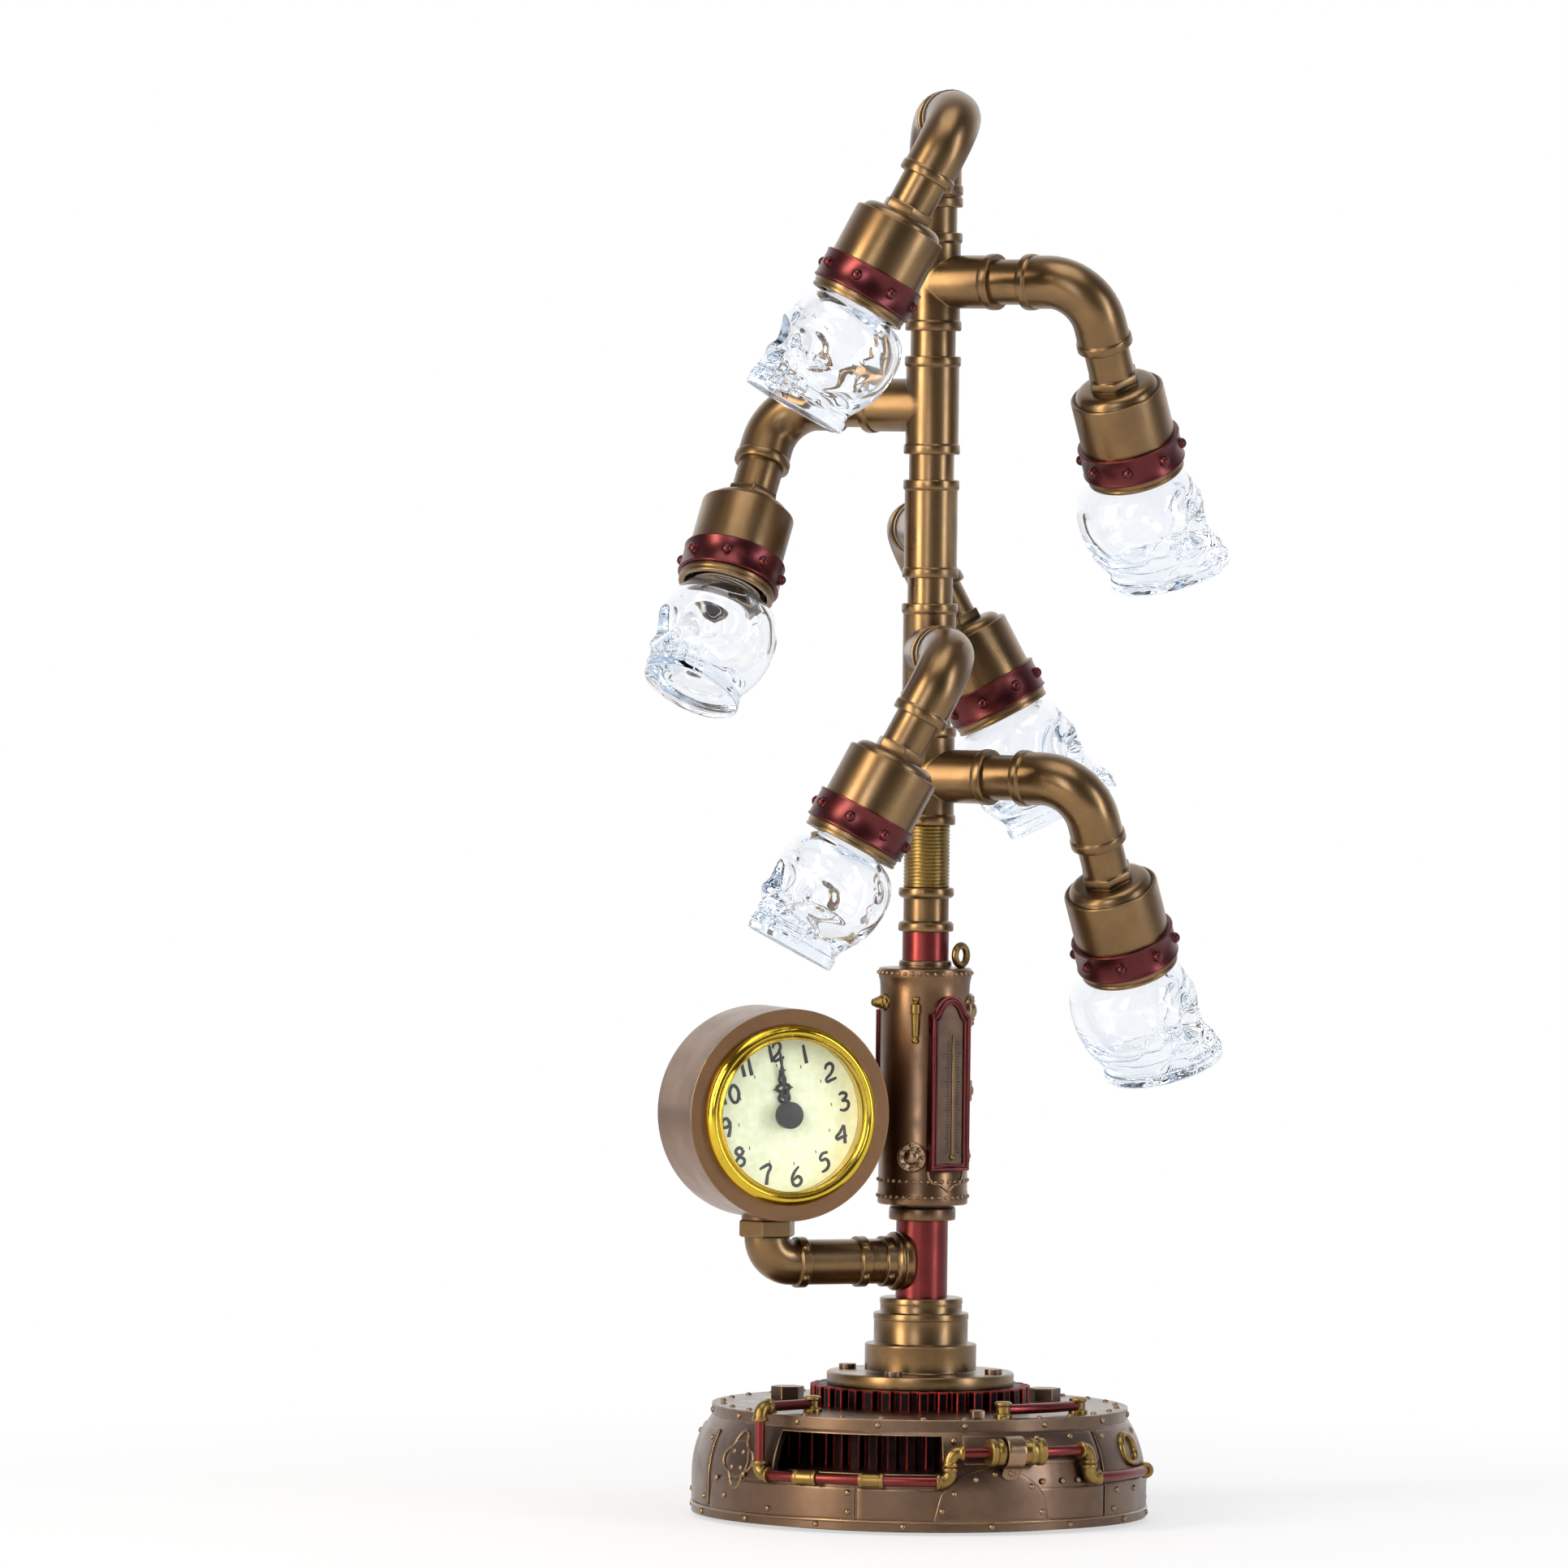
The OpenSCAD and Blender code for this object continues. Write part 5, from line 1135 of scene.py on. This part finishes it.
lever = [(159.8, 0.3), (160.0, 0.9), (160.7, 1.25), (161.4, 0.95), (161.9, 0.75), (162.3, 1.15),
         (163.0, 1.2), (169.6, 1.45), (170.0, 1.75), (172.9, 1.75), (173.2, 1.2), (173.7, 0.8),
         (174.2, 1.2), (174.9, 1.3), (175.5, 0.9), (175.7, 0.3)]
brass.append(place(swept("lever", [(0, 0, z, r) for z, r in lever], 6), azimuth_frame(-33, 16.2)))
WHEEL_R = 3.3
RIM_R = 1.2
turns = [2 * math.pi * k / 14 for k in range(14)]
wheel = [(WHEEL_R + RIM_R * math.cos(turn), RIM_R * math.sin(turn)) for turn in turns]
stand = azimuth_frame(68, 11.9, 189.0) @ Matrix.Rotation(math.radians(54), 4, "Z")
stand = stand @ Matrix.Rotation(math.radians(90), 4, "Y")
brass.append(place(smooth(lathe("hand_wheel", wheel, steps=36), 60), stand))
pipework = joined("brass_pipework", brass)
dress(pipework, "root", "gold", "gold", "brass_fittings")
print("pipework faces:", len(pipework.data.polygons))

# %% [markdown]
# ## Plates on the drum
# The drum's wall is covered with thin riveted plates. A plate could be cut from a second, larger drum,
# but then every corner is a boolean. Here a flat grid is drawn to the plate's outline, given thickness
# and a broken edge by modifiers while it is still flat, and only then rolled on to the wall.

# %% Rolled plates
WALL_R = 76.0
SHOULDER_Z = 14.0
SHOULDER_R = 35.01
PLATE_ROOT = 0.6


def wall_spot(az, z, lift=0.0):
    """Frame on the drum's wall, +Z along the wall's normal, lifted off the wall in millimetres."""
    over = max(z - SHOULDER_Z, 0.0)
    rise = math.asin(over / SHOULDER_R)
    radius = WALL_R - SHOULDER_R * (1 - math.cos(rise)) + lift * math.cos(rise)
    return facing(az, radius, z + lift * math.sin(rise), math.degrees(rise))


def sheet(name, columns, rows, spot, thickness, edge):
    """Flat grid whose point (u, w), both 0 to 1, goes to spot(u, w) in millimetres, made solid."""
    start_fresh()
    bpy.ops.mesh.primitive_grid_add(x_subdivisions=columns, y_subdivisions=rows, size=1)
    piece = bpy.context.object
    piece.name = name
    for vertex in piece.data.vertices:
        vertex.co = Vector(spot(vertex.co.x + 0.5, vertex.co.y + 0.5)) * MM
    solid = piece.modifiers.new("thickness", "SOLIDIFY")
    solid.thickness = thickness * MM
    solid.offset = 1
    broken = piece.modifiers.new("edge", "BEVEL")
    broken.width = edge * MM
    broken.segments = 2
    broken.limit_method = "ANGLE"
    broken.angle_limit = math.radians(50)
    bpy.ops.object.modifier_apply(modifier="thickness")
    bpy.ops.object.modifier_apply(modifier="edge")
    return piece


def plate(name, az_from, az_to, low, high, lift):
    """Plate between two azimuths; low and high give its lower and upper edge at 0 to 1 across."""
    def spot(u, w):
        return (math.radians(az_from + (az_to - az_from) * u) * WALL_R, low(u) + (high(u) - low(u)) * w, 0)

    columns = max(8, round((az_to - az_from) / 1.6))
    piece = sheet(name, columns, 12, spot, lift + PLATE_ROOT, 0.3)
    for vertex in piece.data.vertices:
        x, z, h = vertex.co / MM
        vertex.co = wall_spot(math.degrees(x / WALL_R), z, h - PLATE_ROOT) @ Vector((0, 0, 0))
    return smooth(piece, 32)


def level(z):
    return lambda u: z


def round_left(z, drop, share):
    """Upper edge at z with a rounded corner at the left end."""
    return lambda u: z - drop * (1 - math.sqrt(1 - max(0.0, 1 - u / share) ** 2))


def half_round(z, rise):
    return lambda u: z + rise * math.sqrt(max(0.0, 1 - (2 * u - 1) ** 2)) ** 0.9


PLATE_FOOT = level(4.5)
plates = [
    plate("left_plate", -88, -38.2, PLATE_FOOT, round_left(15.4, 8, 0.16), 0.5),
    plate("mid_plate", -37.6, -12, PLATE_FOOT, level(15.2), 0.5),
    plate("right_plate", 9, 31.6, PLATE_FOOT, level(15.3), 0.5),
    plate("far_right_plate", 32.2, 78, PLATE_FOOT, level(15.6), 0.6),
    plate("upper_plate", -10.5, 31, level(23.2), level(32.6), 0.5),
    plate("upper_right_plate", 31.8, 60, level(17.2), level(32.6), 0.6),
    plate("left_upright", -118, -89, level(5.2), level(30.5), 0.6),
    plate("ornament_disc", -80.1, -70.9, half_round(21.4, -5.8), half_round(22.2, 5.8), 0.45),
    plate("back_left_plate", -160, -119, PLATE_FOOT, level(21), 0.5),
    plate("back_right_plate", 79, 120, PLATE_FOOT, level(24), 0.5),
    plate("back_low_plate", 120.8, 160, PLATE_FOOT, level(14), 0.5),
]
dress(joined("drum_plates", plates), "root", "dark_bronze", "dark_bronze")
patch = plate("round_patch", -18.2, 12.2, PLATE_FOOT, half_round(5.2, 16.6), 1.1)
dress(patch, "root", "dark_bronze", "dark_bronze")
print("plates:", len(plates) + 1)

# %% [markdown]
# ## Drum rivets and trim
# Rivets follow the seams, the rim and the foot band. The foot band has a rolled upper edge, a four
# lobed ornament sits at the left, a porthole at the right, and a strap holds the valve.

# %% Drum rivets and trim
spots = [facing(24 * k - 33.5, 69.95, 35.6) for k in range(15)]
spots += [facing(22.5 * k - 25.9, 76.55, 2.7) for k in range(16)]
spots += [facing(12 * k + 3, 66.4, 37.58, 90) for k in range(30)]
for az, z in (
    (-63, 6.8), (-40, 13.6), (-40, 7.2), (-72, 17.3), (-80, 9.5), (-84, 15), (-92, 8), (-92, 27.5),
    (-115, 8), (-115, 27.5), (37.5, 13), (36, 6.8), (10.6, 17.4), (16.7, 17.4), (21.9, 17.4),
    (28, 17.4), (48, 12.5), (74, 12.5), (74, 6.8), (-12.9, 30.9), (2.5, 31.3), (10.8, 31.3), (22, 31.3),
    (35, 30.6), (57, 30.6), (57, 19.6), (-155, 18.5), (-155, 7), (-124, 18.5), (-124, 7), (83, 21.5),
    (83, 7), (116, 21.5), (116, 7), (124, 11.5), (156, 11.5),
):
    spots.append(wall_spot(az, z, 0.5))
for az, z in ((-16.2, 8.0), (-13.2, 13.8), (-7.8, 18.4), (-2.8, 20.1), (7.2, 15.9), (10.2, 7.4)):
    spots.append(wall_spot(az, z, 1.05))
dress(scatter(rivet, "drum_rivets", spots), "root", "dark_bronze", "rivet_bronze_lit")
foot_bead = lathe("foot_bead", [
    (75.4, 3.6), (76.55, 3.6), (76.9, 3.85), (77.05, 4.2), (76.9, 4.6), (76.5, 4.8), (75.4, 4.8),
], steps=160)
ORNAMENT = (-75.5, 21.8)
LOBE_STEPS = 64
lobes = []
for k in range(LOBE_STEPS + 1):
    turn = 2 * math.pi * k / LOBE_STEPS
    reach = 7.0 + 1.4 * math.cos(4 * turn)
    where = wall_spot(ORNAMENT[0] + math.degrees(reach * math.cos(turn) / WALL_R),
                      ORNAMENT[1] + 1.12 * reach * math.sin(turn), 0.15)
    lobes.append((*(where.translation / MM), 0.55))
ornament = swept("ornament", lobes, 4)
pins = scatter(rivet, "ornament_pins", [
    wall_spot(ORNAMENT[0] + dx, ORNAMENT[1] + dz, 0) for dx in (-1.9, 1.9) for dz in (-2.6, 2.6)])


STRAP_AZ = 1.1
STRAP_TAIL = 0.3
STRAP_HALF = 3.2
STRAP_R = 4.75


def strap_spot(u, w):
    """Point of the valve strap: a tail up the wall, then over the valve."""
    if w < STRAP_TAIL:
        part = w / STRAP_TAIL
        half = STRAP_HALF * math.sqrt(1 - max(0.0, 1 - part * 2) ** 2 * 0.9)
        return ((2 * u - 1) * half, 1.6 - 2.4 * part ** 2, -9.3 + 4.5 * part)
    turn = math.radians(-76 + 220 * (w - STRAP_TAIL) / (1 - STRAP_TAIL))
    return ((2 * u - 1) * STRAP_HALF, -STRAP_R * math.cos(turn), STRAP_R * math.sin(turn))


strap = smooth(sheet("valve_strap", 8, 44, strap_spot, 0.6, 0.2), 40)
place(strap, azimuth_frame(STRAP_AZ, FEED_R, FEED_HIGH))
pin_frame = azimuth_frame(STRAP_AZ, FEED_R - 0.2, 20.6) @ Matrix.Rotation(math.radians(80), 4, "X")
strap_pin = scatter(rivet, "strap_pin", [pin_frame])
start_fresh()
bpy.ops.mesh.primitive_cube_add(size=4.4 * MM)
bolt = bpy.context.object
break_edges(0.5)
place(bolt, azimuth_frame(-4, 61.5, 38.2))
trim = joined("drum_trim", [foot_bead, ornament, pins, strap, strap_pin, bolt])
dress(smooth(trim, 40), "root", "dark_bronze", "rivet_bronze_lit")
porthole = lathe("porthole", [
    (4.1, -1.2), (4.1, 0.5), (4.3, 1.1), (4.8, 1.5), (5.4, 1.4), (5.9, 0.9), (6.2, 0.5), (6.3, -1.2),
], steps=40)
dress(place(smooth(porthole, 50), wall_spot(47, 25.4, 0.4)), "root", "gold", "gold")
print("drum rivets:", len(spots))

# %% [markdown]
# ## Boiler trim
# The thermometer's frame is a double red moulding with an ogee head. Inside it a bronze tube with a
# bulb stands before the tick marks. Four riveted caps, a stepped nozzle and a scalloped ornament
# complete the can. The mouldings and the tube are bars along paths, the caps are lathe work.

# %% Boiler trim
THERMO_AZ = 12
THERMO_Z = 117.2
SCALE_R = 15.65
CAN_R = 15.0


def moulding(name, side, foot, shoulder, depth, radius):
    """Closed red bar round the frame: a foot, two sides and an ogee head above the shoulders."""
    ogee = [(1.0, 0.0), (0.86, 0.55), (0.74, 1.6), (0.64, 3.1), (0.46, 4.6), (0.24, 5.7), (0.0, 6.1)]
    half = [(0, foot)] + [(side, foot)] + [(side * k, shoulder + up) for k, up in ogee]
    line = half + [(-x, z) for x, z in half[-2::-1]]
    bar = swept(name, [(x, -depth, z, radius) for x, z in line], 5)
    return place(bar, azimuth_frame(THERMO_AZ, 0, THERMO_Z))


red = [moulding("outer_moulding", 7.0, 0.5, 51.2, 16.2, 0.8)]
red.append(moulding("inner_moulding", 5.7, 1.8, 50.2, 16.0, 0.55))
red.append(place(swept("side_strip", [(0, 0, z, 1.0) for z in (148, 170.5)], 5), azimuth_frame(-114, 15.4)))
dress(joined("thermometer_moulding", red), "root", "red_metal", "crimson")
tube = [(3.4, 0.3), (3.7, 0.85), (4.5, 1.2), (5.3, 0.9), (5.8, 0.55), (45.2, 0.55), (45.6, 0.3)]
tube = swept("tube", [(1.2, -SCALE_R, z, r) for z, r in tube], 5)
dress(place(tube, azimuth_frame(THERMO_AZ, 0, THERMO_Z)), "root", "dark_bronze", "bronze")
tube.name = "thermometer_tube"
FIRST_TICK = 6
TICK_STEP = 0.95
TICK_LEFT = -0.2
TICK_RIGHT = 2.6
ticks = []
for k in range(40):
    z = FIRST_TICK + TICK_STEP * k
    long = 1.6 if k % 5 == 0 else 0.9
    ticks += [[(TICK_LEFT, z), (TICK_LEFT - long, z)], [(TICK_RIGHT, z), (TICK_RIGHT + long, z)]]
marks = brush("thermometer_ticks", ticks, 0.36, 0.08)
dress(place(marks, facing(THERMO_AZ, SCALE_R, THERMO_Z)), "root", "black_plastic", "ink")
gauge = smooth(lathe("gauge", [
    (5.1, -2.5), (5.1, 0.3), (4.85, 0.75), (4.4, 0.95), (3.6, 0.8), (2.75, 0.7), (2.55, 0.85),
    (2.3, 1.35), (1.6, 1.9), (0.8, 2.15), (0, 2.2), (0, -2.5),
], steps=40, closed=False), 40)
pin_place = Matrix.Translation((3.75 * MM, 0, 0.82 * MM))
pins = scatter(small_rivet, "gauge_pins", [
    Matrix.Rotation(math.radians(45 * k), 4, "Z") @ pin_place for k in range(8)])
gauge = joined("gauge", [gauge, pins])
caps = []
for az, z, scale in ((-36, 121.6, 1.0), (66, 170.5, 1.15), (68, 143.5, 0.8), (68, 121.5, 0.5)):
    caps.append(place(copy_of(gauge, "cap"), facing(az, CAN_R, z) @ Matrix.Scale(scale, 4)))
bpy.data.objects.remove(gauge)
scallop = [(-7.0, -0.4), (-6.6, -2.6), (-5.4, -4.4), (-4.0, -4.7), (-2.6, -4.9), (-1.4, -5.9), (0, -7.0)]
scallop += [(-x, z) for x, z in scallop[-2::-1]]
line = swept("scallop", [(x, -math.sqrt(15.1 ** 2 - x * x), z, 0.4) for x, z in scallop], 4)
caps.append(place(line, azimuth_frame(THERMO_AZ, 0, THERMO_Z)))
dress(joined("boiler_caps", caps), "root", "dark_bronze", "rivet_bronze_lit")
nozzle = lathe("nozzle", [
    (0, -2.0), (3.0, -2.0), (3.0, 0.5), (2.75, 0.85), (2.3, 0.9), (2.2, 1.8), (1.85, 2.1), (1.7, 3.0),
    (1.35, 3.3), (1.2, 4.1), (0.7, 4.4), (0, 4.5),
], steps=28, closed=False)
dress(place(smooth(nozzle, 40), facing(-89, CAN_R, 173.1)), "root", "gold", "gold")
print("boiler trim:", len(caps), "caps and", len(ticks), "ticks")

# %% [markdown]
# ## Clock arm
# A pipe leaves the red stem from a rounded saddle, carries three clamp straps with rivets and
# bends up into a six-sided nut under the clock. Bars along paths make the pipe, the saddle and the
# straps; the nut is a lathe of six steps.

# %% Clock arm
ARM_Z = 86.0
CLAMPS = (13.4, 22.5, 44.2)
SADDLE = [(6.0, 8.8), (6.05, 9.8), (6.6, 10.2), (8.2, 10.2), (8.8, 9.95), (9.1, 9.5), (9.4, 9.75),
          (10.0, 9.95), (10.7, 9.8), (11.4, 9.1), (11.9, 8.0), (12.0, 7.6)]
STRAP = [(-1.8, 7.5), (-1.75, 8.3), (-1.5, 8.55), (1.5, 8.55), (1.75, 8.3), (1.8, 7.5)]
arm = [swept("arm_run", [(-8, 0, ARM_Z, PIPE_R), (-20, 0, ARM_Z, PIPE_R)]
             + quarter((CLOCK_X, 0, ARM_Z), RIGHT, UP, 8.8, PIPE_R) + [(CLOCK_X, 0, ARM_Z + 9.4, PIPE_R)])]
arm.append(swept("saddle", [(-s, 0, ARM_Z, r) for s, r in SADDLE]))
for at in CLAMPS:
    arm.append(swept("clamp", [(s - at, 0, ARM_Z, r) for s, r in STRAP]))
nut = lathe("post_nut", [
    (0, 94.8), (9.2, 94.8), (9.9, 95.3), (9.9, 100.1), (9.2, 100.6), (0, 100.6)], steps=6, closed=False)
nut.data.transform(Matrix.Translation((CLOCK_X * MM, 0, 0)))
arm.append(smooth(nut, 25))
pin_spots = []
for at in CLAMPS:
    for turn in (-40, 35, 140):
        around = Matrix.Rotation(math.radians(90 + turn), 4, "X") @ Matrix.Translation((0, 0, 8.5 * MM))
        pin_spots.append(Matrix.Translation((-at * MM, 0, ARM_Z * MM)) @ around)
arm.append(scatter(rivet, "clamp_pins", pin_spots))
dress(joined("strapped_arm", arm), "root", "bronze", "bronze", "clock_arm")
print("clock arm pins:", len(pin_spots))

# %% Finish
for model in (rivet, small_rivet):
    bpy.data.objects.remove(model)
